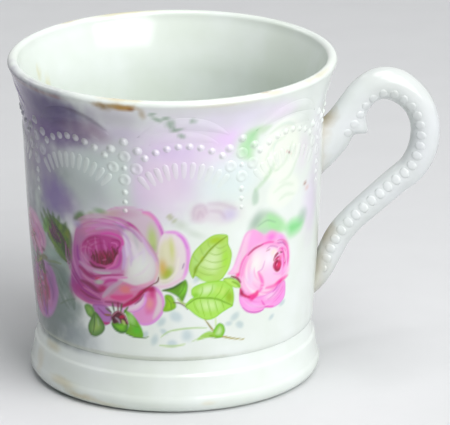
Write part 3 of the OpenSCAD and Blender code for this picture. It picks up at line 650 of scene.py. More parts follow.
def big_rose(p):
    """The open rose: pale guard petals at the right, a deep pink heart at the left."""
    # Petals behind
    p.petal([(-31.4, 47), (-31.2, 51), (-28.6, 52.6), (-25.6, 54.2), (-21.6, 55.4), (-19.6, 57.8),
             (-16, 58.7), (-12, 58.3), (-9.4, 58.3), (-7.2, 56), (-5.9, 53), (-5.3, 50),
             (-6.2, 47), (-8.4, 45.4), (-16, 44), (-28, 44)], "#d6c3d2", 0.95, soft=0.5)
    p.wash((-27, 52.6), (4.4, 2.2), "#c08aa4", 0.8, turn=25, edge=0.2)
    p.wash((-19.4, 56.6), (3.6, 1.2), "#c7aaa8", 0.7, turn=12, edge=0.2)
    p.wash((-15.6, 57), (3.4, 1.3), "#cba3c0", 0.6, turn=4)
    p.wash((-8.5, 50), (1.5, 4.4), "#b9c98a", 0.9, turn=4, edge=0.2)
    p.wash((-8.7, 47), (0.9, 1.6), "#93a868", 0.7, turn=-20)
    p.stroke([(-10.8, 57.9), (-8.9, 57.4), (-7.3, 55.5), (-6.1, 53), (-5.5, 50.3), (-5.9, 47.8),
              (-7, 46.2)], 1.2, "#dc93d2", 0.9, 0.4)
    p.stroke([(-10.8, 57.6), (-9.4, 57.4), (-8, 56.2)], 1.1, "#e0a0b8", 0.5, 0.5)
    p.stroke([(-6.6, 54.4), (-5.7, 51.6), (-5.9, 49)], 0.3, "#a878b4", 0.6, 0.2)
    p.stroke([(-20.8, 57.4), (-18, 58.6), (-14, 58.9), (-11, 58.5)], 0.5, "#d98fc4", 0.6, 0.3)
    # Outer petal at the right, with yellow-green at its root
    p.petal([(-7, 48), (-5.8, 51.6), (-3, 52.8), (-0.6, 51.4), (1.0, 48.4), (1.3, 44.4),
             (0.6, 40.4), (-1.2, 38), (-4, 36.5), (-7, 35.8), (-8.6, 37), (-7.4, 39.6),
             (-7.1, 43.4)], "#e9dfe4", 1.0, soft=0.35)
    p.petal([(-7, 46.8), (-5.6, 49.6), (-3.4, 50.4), (-2.3, 47), (-2.4, 43), (-3.8, 39.6),
             (-6, 38.2), (-7.1, 40.6)], "#d4d59a", 0.5, soft=1.1)
    p.wash((-3.4, 47.6), (0.8, 3.2), "#cdd28c", 0.65, turn=3)
    p.wash((-4.9, 47), (0.9, 2.6), "#e3e0c8", 0.8, turn=3)
    p.wash((-4.6, 40.4), (1.7, 2.4), "#a3b536", 0.9, turn=-30, edge=0.2)
    p.wash((-6, 42.2), (1.4, 2.4), "#cfa850", 0.75)
    p.stroke([(-6.8, 38.4), (-4.4, 38.7), (-2.2, 41.2), (-1.5, 45)], 0.8, "#eee9e2", 0.8, 0.4)
    p.stroke([(-4.8, 52.4), (-2.2, 52.2), (-0.2, 50.4), (0.9, 47.4), (1.0, 44), (0.4, 41),
              (-0.4, 38.9)], 1.3, "#e2a2e2", 0.85, 0.45)
    p.stroke([(-1.8, 51.6), (-0.4, 50.4), (0.8, 47.6)], 0.5, "#cf86d2", 0.7, 0.3)
    p.stroke([(-0.1, 43.4), (-0.6, 41.8)], 0.4, "#9a6aa8", 0.7, 0.2)
    p.stroke([(-7.8, 36.7), (-5, 36.8), (-2, 38.2), (-0.2, 39.6)], 0.8, "#e6c9dc", 0.8, 0.4)
    # Petals below at the right
    p.petal([(-9.4, 36.8), (-6.9, 35.8), (-5.7, 33.2), (-5.6, 30.4), (-6.8, 27.8), (-9, 25.8),
             (-11.6, 25.2), (-13.4, 26.2), (-14.6, 28.4), (-14, 31), (-11.6, 33.6)], "#dfa3cf", 1.0,
            soft=0.35, edge="#dba0de", edge_w=1.0)
    p.petal([(-9.6, 36), (-8.2, 35.4), (-7.7, 32.4), (-8.6, 29.4), (-10.6, 28.6), (-10.8, 31.6),
             (-10.4, 34)], "#d67aa6", 0.75, soft=1.0)
    p.wash((-9.6, 31.6), (1.2, 1.8), "#e0a49c", 0.7)
    p.petal([(-7.6, 34.8), (-6.4, 33.2), (-6.3, 30.4), (-7.4, 28.4), (-8.8, 27.2), (-8.2, 29.6),
             (-7.5, 32)], "#ddd0d6", 0.9, soft=0.5)
    p.wash((-9.2, 36), (1.5, 1.1), "#a31262", 1.0, turn=-20, edge=0.35)
    p.wash((-8.8, 34.4), (0.9, 1.3), "#c4447f", 0.7)
    p.petal([(-11.4, 34.6), (-10.5, 33), (-11.2, 30.8), (-13.6, 28.9), (-17.2, 28.6), (-17.6, 29.9),
             (-15, 31.2), (-12.8, 33)], "#e3b7dc", 1.0, soft=0.3, edge="#cf8fcf", edge_w=0.5,
            core="#e9d6e4")
    p.stroke([(-11.2, 34.2), (-10.6, 32.8), (-11.4, 30.9)], 0.35, "#e8a6e6", 0.9, 0.2)
    # Bowl of the rose
    p.petal([(-31.6, 49.4), (-32.6, 44), (-33.6, 38.6), (-34.2, 34.4), (-33.2, 31.2), (-30, 29.7),
             (-26, 29.2), (-21, 29.7), (-17, 30), (-14, 31.8), (-12, 33.9), (-9.4, 36.2),
             (-7.9, 38.4), (-7.1, 41), (-7, 44.6), (-8.4, 47.6), (-10.5, 50.6), (-12.6, 53.2),
             (-15, 54.9), (-18, 55.9), (-22, 55.3), (-26, 53.4), (-29.6, 51.8)], "#c183ad", 1.0,
            soft=0.35)
    p.wash((-31.6, 41), (2.4, 8), "#a5619b", 0.75, edge=0.2, rough=0.3)
    p.wash((-32.2, 34.4), (2.8, 3.4), "#8d478b", 0.85, edge=0.3, rough=0.3)
    p.wash((-28.4, 33), (5.6, 4), "#a4437f", 0.85, edge=0.3, rough=0.3)
    p.wash((-29.6, 48.4), (2.4, 3), "#b184a8", 0.7)
    p.wash((-26, 51.4), (4, 1.7), "#c890a6", 0.7, turn=20)
    p.wash((-30.6, 51.8), (1.6, 1.2), "#9f93bb", 0.6)
    # Turned edges at the top
    p.stroke([(-27.6, 50.4), (-24, 52.6), (-19.6, 54.6), (-16, 54.6)], 1.4, "#cf8fc0", 0.8, 0.5)
    p.stroke([(-24.4, 51.6), (-21, 52.6), (-18, 52.8), (-16.4, 51.6)], 0.9, "#c7a5c3", 0.85, 0.4)
    p.stroke([(-19.2, 54), (-16.8, 53.2), (-15.2, 51.4)], 0.6, "#a493b8", 0.8, 0.3)
    p.stroke([(-18.4, 54.6), (-16.6, 53.8), (-15.4, 52.6)], 0.7, "#dfa5e0", 0.8, 0.3)
    p.stroke([(-15, 54.6), (-13.2, 53.2), (-11.6, 51)], 0.9, "#bb4f9c", 0.9, 0.35)
    p.stroke([(-14.4, 53.2), (-12.8, 51.8), (-11.8, 50.2)], 0.6, "#e0bfe2", 0.8, 0.3)
    p.stroke([(-26.8, 49.8), (-23.6, 50.6), (-20.6, 51.2), (-18, 50.6)], 0.7, "#cb7fb2", 0.85, 0.3)
    # The large pale petal in front
    p.petal([(-16.4, 51.8), (-14.4, 53), (-12.4, 52), (-10.9, 50), (-8.7, 46.7), (-7.4, 43.6),
             (-7.3, 40.6), (-8.5, 38.2), (-11, 36.6), (-14, 36), (-16.6, 36.8), (-18, 38),
             (-16.2, 39.6), (-15.7, 42), (-15.5, 45), (-16.2, 48)], "#dcd3da", 0.95, soft=1.3)
    p.wash((-12.6, 41), (3.4, 3.2), "#e2e1dd", 0.9)
    p.stroke([(-16, 51.4), (-15.4, 48), (-15.6, 45)], 1.6, "#e2d3e8", 0.9, 0.5)
    p.stroke([(-13.6, 51.6), (-12.8, 48.4), (-13.2, 46)], 1.0, "#c9c6cc", 0.8, 0.5)
    p.stroke([(-14.6, 43.6), (-13, 45.2), (-11, 46.6)], 0.9, "#d5bcdc", 0.8, 0.4)
    p.stroke([(-10.9, 47.4), (-10.9, 45), (-11.2, 43)], 1.0, "#dccbe6", 0.7, 0.4)
    p.stroke([(-11, 50.6), (-9.8, 47.6), (-8.4, 45.6), (-7.3, 43)], 0.6, "#d6aee0", 0.8, 0.35)
    p.stroke([(-7.5, 43.8), (-7.4, 41), (-8.2, 38.6)], 0.6, "#e2bfc4", 0.8, 0.3)
    p.stroke([(-8.2, 38.4), (-10, 37.4), (-12.6, 36.6)], 0.8, "#e0a7c0", 0.8, 0.5)
    p.wash((-11.4, 42.6), (3.4, 4.6), "#eceeee", 0.75)
    for points, width, colour in (
            ([(-16.4, 50.6), (-13.6, 47.6), (-12.6, 43.8)], 1.4, "#ebe2ec"),
            ([(-13, 52.4), (-10.6, 49.4), (-9.2, 45.6)], 1.0, "#dcc0e0"),
            ([(-15.4, 48.4), (-14.4, 45.4), (-14.6, 42.2)], 0.9, "#cfb6d8"),
            ([(-16.6, 53.4), (-13.8, 52.2), (-11.4, 49.4)], 0.9, "#ad68b0"),
            ([(-18, 52.6), (-15.6, 50.4), (-14.4, 47.6)], 0.8, "#bd90c6"),
            ([(-16.8, 46.6), (-15.8, 43.4), (-16.2, 40.6)], 1.0, "#dcc6e0"),
            ([(-13.8, 39.4), (-11.4, 40.6), (-9.4, 43.2)], 0.8, "#e6d9e6")):
        p.stroke(points, width, colour, 0.6, 0.45, 0.8)
    # Heart
    p.petal([(-28.6, 47.6), (-25.4, 49.8), (-21, 50.2), (-17.4, 49.2), (-17.6, 46.6), (-18.6, 43.6),
             (-20.6, 41), (-25, 40), (-28.8, 41.6), (-30.2, 44.6)], "#b3568f", 1.0, soft=0.5)
    p.wash((-28.4, 42.6), (1.6, 1.8), "#a98aa6", 0.7)
    p.stroke([(-29.8, 45), (-28.4, 45.8), (-26, 45.6)], 0.5, "#cf8fb8", 0.45, 0.3)
    p.stroke([(-29.6, 43.8), (-28, 42), (-26.6, 41)], 0.6, "#cf9fc0", 0.7, 0.3)
    p.stroke([(-27.6, 47.8), (-26.6, 46.8), (-25.4, 46.8)], 0.7, "#d08cba", 0.45, 0.35)
    p.stroke([(-27.4, 44.6), (-26.4, 42.8)], 0.5, "#8a2f6c", 0.8, 0.3)
    p.stroke([(-24.9, 49.2), (-24.7, 46.6), (-24.2, 44.8)], 0.5, "#d394c0", 0.55, 0.25)
    p.stroke([(-23.4, 49), (-23, 46.4), (-22.6, 45)], 0.8, "#9c3578", 0.7, 0.4)
    p.stroke([(-22.2, 48.6), (-21.8, 46.6), (-21.4, 45.2)], 0.7, "#c778b0", 0.8, 0.3)
    p.stroke([(-20.8, 48), (-20.4, 46.4)], 0.6, "#a94388", 0.7, 0.3)
    p.stroke([(-23, 50.4), (-20.4, 50.9), (-17.8, 50.4), (-16.7, 49), (-17.1, 47.2), (-18.2, 45.7)],
             0.9, "#cf6cae", 1.0, 0.35)
    p.stroke([(-19.8, 49.1), (-18.2, 49.2), (-17.4, 48.4), (-17.8, 47)], 0.45, "#a3307a", 0.9, 0.25)
    p.stroke([(-20, 48.3), (-18.6, 48.2), (-18.2, 47.2)], 0.4, "#d785bd", 0.8, 0.2)
    p.folds((-23, 44.6), np.arange(2.6, 6.6, 0.26), (30, 230),
            ("#cf8cba", "#8f2060", "#c067a2", "#a2306f", "#d79cc4"), 0.5, 0.5, 5, 0.85)
    p.wash((-21.8, 43.4), (4.0, 2.4), "#8c0e46", 0.9, turn=18, edge=0.3, rough=0.6)
    p.stroke([(-19.2, 46.6), (-18.9, 44.8), (-20.2, 43.2), (-22.2, 42), (-24.4, 42)], 0.9,
             "#640634", 1.0, 0.35)
    strands = np.random.default_rng(3)
    for a in np.arange(-26, -18.2, 0.42):
        foot_z = 41.6 + 0.09 * (a + 23.4) ** 2
        tip = foot_z + strands.uniform(1.6, 4.8)
        p.stroke([(a, foot_z), (a + strands.uniform(-0.3, 0.3), (foot_z + tip) / 2),
                  (a + strands.uniform(-0.8, 0.5), tip)], strands.uniform(0.28, 0.5),
                 ("#6a0036", "#9a1458", "#82083f", "#d77fae", "#5a002c", "#b02c6a",
                  "#700034")[int(strands.integers(7))], 1.0, 0.16, 0.8)
    p.stroke([(-24.9, 44.2), (-24.2, 42.4)], 0.55, "#6a1040", 0.9, 0.25)
    p.stroke([(-23.6, 44), (-23.2, 42)], 0.45, "#560a34", 0.9, 0.25)
    p.stroke([(-22.3, 43.8), (-22.2, 42.2)], 0.4, "#5c0c38", 0.9, 0.2)
    p.stroke([(-21.2, 44.4), (-21.3, 42.8)], 0.4, "#64103c", 0.9, 0.2)
    p.stroke([(-18, 47.4), (-18.6, 46)], 0.4, "#6e1548", 0.9, 0.2)
    p.stroke([(-22.8, 42.9), (-21.8, 43.2)], 0.3, "#c56f9c", 0.8, 0.2)
    p.stroke([(-23.8, 41.5), (-22, 41.2), (-20.4, 42)], 0.35, "#c9719f", 0.8, 0.2)
    p.stroke([(-27, 41.6), (-25.2, 40.5), (-22.4, 40.6)], 0.9, "#6a0a40", 0.95, 0.35)
    p.stroke([(-21.6, 40.7), (-19.6, 41.9), (-18.7, 43.8), (-18.2, 45)], 0.7, "#d682b6", 0.95, 0.3)
    p.stroke([(-20.8, 40.5), (-18.4, 41.8), (-17.5, 44), (-17.2, 46)], 0.9, "#bd5fa2", 0.85, 0.35)
    p.stroke([(-16.6, 47.6), (-16.4, 44), (-16.9, 41)], 0.9, "#cbb0d6", 0.9, 0.4)
    # Folds that run round below the heart
    p.folds((-22.5, 44), np.arange(7.0, 13.4, 0.3), (150, 262),
            ("#8e3f86", "#d2a0c8", "#b3649f", "#7a2a62", "#c991bd"), 0.6, 0.5, 21, 1.0)
    p.stroke([(-31, 45.6), (-31, 42.6), (-30, 40.4)], 0.7, "#8e4590", 0.7, 0.4)
    p.stroke([(-30.4, 41), (-27, 39.6), (-22, 39.6), (-17.6, 40.4)], 1.2, "#c59cba", 0.95, 0.45)
    p.stroke([(-25.8, 39.2), (-23, 39.1), (-20.6, 39.5)], 0.7, "#c2bcc4", 0.85, 0.3)
    p.stroke([(-30.6, 39.6), (-28, 38), (-25.4, 37.6)], 1.5, "#96306c", 0.9, 0.45)
    p.stroke([(-26, 37.8), (-23.4, 38.3), (-20, 38.9), (-16.8, 39.4)], 0.6, "#a8457c", 0.9, 0.3)
    p.stroke([(-25.4, 37), (-23.6, 37.6)], 0.8, "#b8325f", 0.8, 0.3)
    p.stroke([(-24.4, 37), (-21.4, 38), (-18, 38.5), (-15.8, 38.7)], 0.8, "#d99ac6", 0.95, 0.3)
    p.stroke([(-29.8, 37.4), (-27.4, 36.4), (-25.6, 36.3)], 0.6, "#c58cae", 0.8, 0.3)
    p.wash((-24.3, 36.3), (1.6, 0.7), "#b6b9b2", 0.95, turn=12, edge=0.2)
    p.stroke([(-22.6, 36.2), (-21.2, 37.2), (-18.8, 37.7)], 1.0, "#b95292", 0.85, 0.4)
    p.stroke([(-30.2, 35.6), (-27.4, 35), (-25, 33.8), (-23.4, 34)], 1.3, "#7c2152", 0.9, 0.4)
    p.wash((-23.3, 34.6), (1.7, 1.0), "#ad3570", 0.95, turn=25, edge=0.2)
    p.stroke([(-29.6, 33.8), (-26.6, 32.8), (-24.2, 31.9)], 0.6, "#c07fa8", 0.85, 0.3)
    p.stroke([(-30.8, 32.8), (-27.6, 31.5), (-24.2, 31.1)], 0.6, "#762353", 0.85, 0.3)
    p.stroke([(-31, 31.4), (-27.4, 30.4), (-23.6, 30.4)], 0.7, "#9c5b93", 0.7, 0.3)
    # Lower front petal, salmon pink in its middle
    p.petal([(-17.6, 37.4), (-13.4, 36.6), (-9.6, 37), (-11.8, 35), (-13.6, 33), (-16, 31),
             (-19.6, 30.6), (-23.2, 31.6), (-23, 33.2), (-20.4, 35.4)], "#cf89ad", 1.0, soft=0.5)
    p.stroke([(-17.4, 37.4), (-20.6, 35), (-23.2, 32.2)], 1.3, "#c0a9bb", 0.95, 0.4)
    p.stroke([(-16.4, 36.8), (-19.4, 34.8), (-21.4, 32.6)], 0.8, "#b895a6", 0.8, 0.4)
    p.wash((-16.4, 35.2), (2.0, 1.4), "#d78a8c", 0.9, edge=0.2)
    p.stroke([(-20.6, 32.6), (-17.6, 32.6), (-14.6, 33.6)], 1.8, "#cf5d90", 0.85, 0.6)
    p.stroke([(-12.6, 36.4), (-10.2, 36.9), (-8.6, 37.9)], 0.8, "#dcaac6", 0.9, 0.4)
    p.stroke([(-14.8, 35.2), (-12.8, 35.8), (-11.2, 36)], 0.9, "#cf9bbb", 0.8, 0.4)
    p.stroke([(-22.6, 30.8), (-19.8, 31), (-17.2, 30.8)], 0.9, "#8e2f66", 0.8, 0.4)
    p.stroke([(-9.4, 36.2), (-11.6, 34.9), (-13.2, 32.9), (-15.3, 31.4), (-17.4, 30.2)], 1.5,
             "#b01c6a", 1.0, 0.35)
    p.stroke([(-10.6, 35.6), (-12.4, 33.9), (-14.6, 32.1)], 0.4, "#7e0c3a", 0.9, 0.2)
    p.stroke([(-8.3, 37.4), (-7.3, 38.2), (-7, 39.4)], 0.5, "#6b3030", 0.85, 0.2)
    p.stroke([(-8.2, 37.6), (-9.6, 36.6), (-11.4, 35.3)], 0.35, "#7d1238", 0.9, 0.2)
    p.stroke([(-13.8, 31.2), (-12.2, 32.6), (-11.2, 34.2)], 0.5, "#8e1f6a", 0.8, 0.25)
    p.folds((-22, 41), np.arange(12.4, 16.4, 0.35), (58, 122),
            ("#dcb6d4", "#c490bb", "#cfc6c4", "#d9a3c6"), 0.7, 0.45, 8, 0.95)
    # Petal under the rose at the left
    p.petal([(-26.6, 29.3), (-22.4, 29.6), (-20.9, 27.6), (-21.2, 25.4), (-23, 24), (-25, 25.4),
             (-26.2, 27.6)], "#ad77b2", 0.95, soft=0.4, edge="#93508c", edge_w=0.5)
    p.stroke([(-25.4, 25.8), (-23.4, 24.5), (-21.6, 24.8)], 0.8, "#b03b78", 0.9, 0.3)
    p.stroke([(-25, 28.6), (-22.8, 27), (-21.2, 27)], 0.6, "#8c3f80", 0.8, 0.3)


def bud_and_leaves(p):
    """The dark red bud under the big rose, and the leaves round it."""
    p.petal([(-29.8, 28.2), (-28.6, 29.2), (-26.8, 28.6), (-26.1, 26.6), (-27.2, 25.2), (-29, 26)],
            "#5c8636", 0.95, soft=0.35, core="#86ac5c")
    p.petal([(-26.2, 27.2), (-24.4, 25.8), (-23.2, 23.4), (-24.2, 21.4), (-26.6, 20), (-28.4, 20.6),
             (-28.8, 22.6), (-27.8, 24.8)], "#5f8a3c", 0.95, soft=0.35, edge="#4a6a2e",
            core="#98b46c")
    p.stroke([(-26.4, 26.4), (-26.6, 23.6), (-27.2, 21)], 0.4, "#39572c", 0.8, 0.2)
    p.stroke([(-25.4, 25.4), (-25.2, 23.4)], 0.6, "#9fb592", 0.7, 0.3)
    p.stroke([(-27.4, 27.8), (-28.6, 26.4)], 0.4, "#86ad66", 0.8, 0.2)
    p.petal([(-17, 29.2), (-15.2, 28.5), (-13.6, 27), (-12.3, 24.8), (-11.6, 22.6), (-12, 21.6),
             (-14, 21.4), (-16, 21.9), (-16.9, 22.6), (-15.8, 24.6), (-16, 26.8)], "#74ab3c", 1.0,
            soft=0.3)
    p.wash((-15, 26.8), (1.1, 2.0), "#a3cd84", 0.9, turn=20, edge=0.2)
    p.wash((-13.5, 23.6), (1.3, 1.4), "#66b630", 0.9, edge=0.2)
    p.stroke([(-16.6, 22.4), (-14, 21.5), (-11.2, 21.6), (-10.2, 21.9)], 0.4, "#5e8226", 0.9, 0.2)
    p.stroke([(-16.2, 25.6), (-14.4, 24.8), (-12.9, 24.6)], 0.3, "#5b8f2e", 0.7, 0.2)
    p.petal([(-20.9, 25), (-20.3, 23.2), (-18.6, 22.3), (-16.8, 22.6), (-16, 24.2), (-16.3, 25.8),
             (-18.5, 25.6)], "#5d9427", 1.0, soft=0.3, edge="#3d6a1c", edge_w=0.5, core="#7cba44")
    p.stroke([(-20.4, 24.2), (-18.4, 22.6), (-16.6, 23)], 0.35, "#2f5a16", 0.8, 0.2)
    p.petal([(-21, 26.6), (-19.8, 28.4), (-17.9, 28.7), (-16.5, 27.4), (-15.9, 25.2), (-17.4, 25.2),
             (-19, 25.2), (-20.4, 24.8)], "#5a1231", 1.0, soft=0.3)
    p.stroke([(-20.6, 27), (-18.9, 28.5), (-17.1, 27.8), (-16, 25.4)], 0.35, "#c78ba0", 0.8, 0.2)
    p.wash((-17.7, 27.1), (0.9, 0.5), "#a6174f", 1.0, turn=20, edge=0.3)
    p.stroke([(-19.6, 26.6), (-18.8, 26), (-18.4, 25.2)], 0.6, "#b3a5b2", 0.85, 0.3)
    p.stroke([(-17.6, 26), (-16.9, 25)], 0.9, "#b4c880", 0.85, 0.3)
    p.stroke([(-20.6, 26.2), (-19.8, 25.2)], 0.5, "#2c0a1a", 0.9, 0.2)
    for low, high, colour in (((-20, 28.4), (-20.4, 30.8), "#3f4a22"),
                              ((-18.8, 28.6), (-18.7, 31.2), "#7a1f44"),
                              ((-18, 28.6), (-17.6, 30.9), "#4a4a26"),
                              ((-17, 28.4), (-15.8, 30.2), "#4f7a2c"),
                              ((-20.8, 28), (-22.6, 29), "#56602c"),
                              ((-21, 27.2), (-23, 27), "#8c6a3a")):
        p.stroke([low, high], 0.6, colour, 0.9, 0.25)
    # Leaves behind, between the rose and the light leaves
    p.petal([(-6.2, 35.6), (-3.6, 36.3), (-1.2, 37.7), (0.2, 38.7), (0.9, 37.2), (0.7, 35.4),
             (0.1, 33.6), (-0.7, 32.2), (-2, 33.8), (-4, 35)], "#68982c", 1.0, soft=0.3)
    p.stroke([(-5.8, 35.6), (-3, 36.4), (-0.6, 38)], 0.7, "#3d5a14", 0.9, 0.3)
    p.wash((-0.4, 35.6), (0.9, 1.8), "#86c552", 0.9, turn=-25, edge=0.2)
    p.stroke([(-2, 34), (-0.6, 35.6), (0, 37.6)], 0.3, "#4f7a22", 0.7, 0.2)
    p.petal([(-5.4, 34.2), (-3.6, 34.2), (-2.6, 32.4), (-2.4, 30.6), (-4.2, 29.5), (-6, 29.6),
             (-5.4, 31.8)], "#85b234", 1.0, soft=0.3, core="#97c63e")
    p.stroke([(-5, 33.6), (-3.8, 32), (-3.6, 30)], 0.3, "#5c8420", 0.8, 0.2)
    p.stroke([(-3.2, 32), (-1.4, 31.9), (0, 31), (0.8, 30)], 0.45, "#5d3f2c", 0.85, 0.2)
    p.stroke([(-2, 33.2), (-0.6, 32), (0.8, 31.4)], 0.6, "#a8c26a", 0.8, 0.2)
    # Small light patch of glaze between the leaves
    p.wash((1.6, 35.4), (0.7, 2.2), "#e4ecd2", 0.7, turn=8)
    # Upper light leaf
    p.petal([(1.3, 41.4), (1.5, 43.8), (2.4, 46.3), (4.1, 48.3), (6, 49.9), (7.8, 50.9), (9.8, 51),
             (11.8, 50.4), (12, 48), (12.9, 45.8), (13, 44), (12.4, 41.4), (11.3, 39.4),
             (10, 37.9), (7.5, 37.3), (5, 38.2), (3, 39.6), (2.2, 39)], "#b4d47c", 1.0, soft=0.25,
            edge="#93c23c", edge_w=0.5, core="#d3e5b4")
    p.wash((8.6, 49.4), (2.4, 1.2), "#a6c41e", 0.9, edge=0.2)
    p.wash((11.4, 43.6), (1.2, 3.4), "#aad764", 0.85, edge=0.2)
    p.wash((3, 44), (0.9, 2.2), "#b6d88c", 0.8, turn=-10)
    p.wash((3, 41.4), (0.6, 1.3), "#83a624", 0.9, turn=-10, edge=0.2)
    p.wash((4.8, 44.4), (0.5, 0.9), "#b9cf3c", 0.8)
    p.wash((6, 38.6), (2, 0.9), "#b6dc84", 0.8)
    p.stroke([(2.3, 39.2), (3.2, 41.8), (4.8, 44.2), (7, 46.9), (9.4, 48.9), (11.6, 50.2)], 0.6,
             "#85a018", 0.95, 0.22, 0.6)
    for points in ([(3.9, 42.6), (6.4, 41.4), (9, 41.2), (11.4, 41.8)],
                   [(3.2, 41.2), (5.6, 39.9), (8.4, 39.4)],
                   [(5, 44.4), (7.6, 43.2), (10, 43.2), (12, 44)],
                   [(6.4, 46.2), (8.8, 45.2), (11.6, 46.2)],
                   [(8.2, 47.8), (9.8, 47), (11.6, 47.8)],
                   [(4, 43.4), (2.8, 44.6), (2.2, 46)], [(5.4, 45.2), (4.6, 46.6), (4.4, 48)],
                   [(7.2, 47.2), (6.4, 48.4), (6.4, 49.6)]):
        p.stroke(points, 0.35, "#9cbf6a", 0.75, 0.18, 0.7)
    # Lower light leaf
    p.petal([(1.9, 34.4), (2.1, 36), (4, 37.1), (6.5, 37.6), (9, 37.7), (11.6, 37.2), (13.3, 35.6),
             (13.9, 33), (13.7, 30), (12.5, 29.3), (10.5, 28.3), (8.5, 27), (6.5, 26.6),
             (4.8, 27.1), (3, 28.3), (1.5, 29.7), (0.2, 31.1), (1.6, 32.9), (2.5, 33.4)], "#aed974",
            1.0, soft=0.25, edge="#8cc634", edge_w=0.5)
    p.wash((6.8, 30.8), (3.2, 1.6), "#cfe8aa", 0.95, turn=-8)
    p.wash((6.2, 35.4), (2.2, 1.3), "#d8ebbe", 0.9, turn=15)
    p.wash((10.2, 34.6), (2, 1.2), "#c4e088", 0.8, turn=-20)
    p.wash((12.6, 32.6), (1.3, 2.0), "#93b614", 0.9, turn=15, edge=0.2)
    p.wash((3, 34), (1.0, 0.8), "#86c22e", 0.8)
    p.stroke([(0.3, 31), (3, 32.9), (6, 33), (9, 32.4), (11.5, 31.1), (13.7, 29.9)], 0.5,
             "#78a81c", 0.95, 0.2, 0.5)
    for points in ([(2.4, 32.4), (3, 30.4), (4, 28.6)], [(4.2, 32.9), (4.8, 30.4), (5.6, 27.6)],
                   [(6.2, 32.9), (6.8, 30.2), (7.6, 27.2)],
                   [(8.2, 32.6), (8.8, 30.4), (9.4, 28.2)],
                   [(10.2, 31.8), (10.8, 30.4), (11.2, 29.2)],
                   [(3.8, 33), (4.8, 34.8), (4.8, 36.6)], [(6, 33), (7.4, 34.8), (7.8, 37)],
                   [(8.2, 32.7), (9.8, 34.4), (10.6, 36.6)],
                   [(10.2, 32), (11.6, 33.4), (12.8, 35)]):
        p.stroke(points, 0.35, "#8abf38", 0.75, 0.18, 0.7)
    # Stem with a small bud, and tendrils
    p.stroke([(5.6, 26.8), (7, 24.8), (8.2, 23.2), (9.4, 21.8), (11.6, 21), (14.2, 20.2),
              (17.6, 19.4)], 0.6, "#a49a34", 0.95, 0.2, 0.6)
    p.stroke([(6.2, 26), (7.6, 23.8)], 0.3, "#6d6420", 0.8, 0.2)
    p.stroke([(8.6, 27), (8.8, 25.4), (8.7, 24)], 0.5, "#c6dca0", 0.8, 0.25)
    p.petal([(7.9, 22.2), (8.9, 21.1), (10.6, 21.2), (11.5, 22.8), (11, 24.6), (9.7, 25.2),
             (8.6, 24)], "#8cc258", 1.0, soft=0.25, edge="#6fa63c", edge_w=0.4, core="#c3dca8")
    p.petal([(3.4, 20.8), (5, 22.5), (7, 23.2), (8.4, 22.5), (8.8, 21.2), (6.4, 21.3)], "#a0c866",
            0.95, soft=0.25)
    p.stroke([(7, 22), (8.6, 21.4), (10.4, 21)], 0.6, "#7ea82e", 0.9, 0.2)
    p.stroke([(-6.6, 22), (-4.4, 23.6), (-1, 24.3), (3, 24.5), (6.2, 24.2)], 0.5, "#b3cc94", 0.85,
             0.22)
    p.stroke([(-7, 19.5), (-3.4, 19.3), (0, 19.8)], 0.6, "#bdd29c", 0.85, 0.25)
    p.stroke([(2, 20.5), (4, 21.4), (5.4, 21.6)], 0.4, "#b9cf9a", 0.7, 0.2)


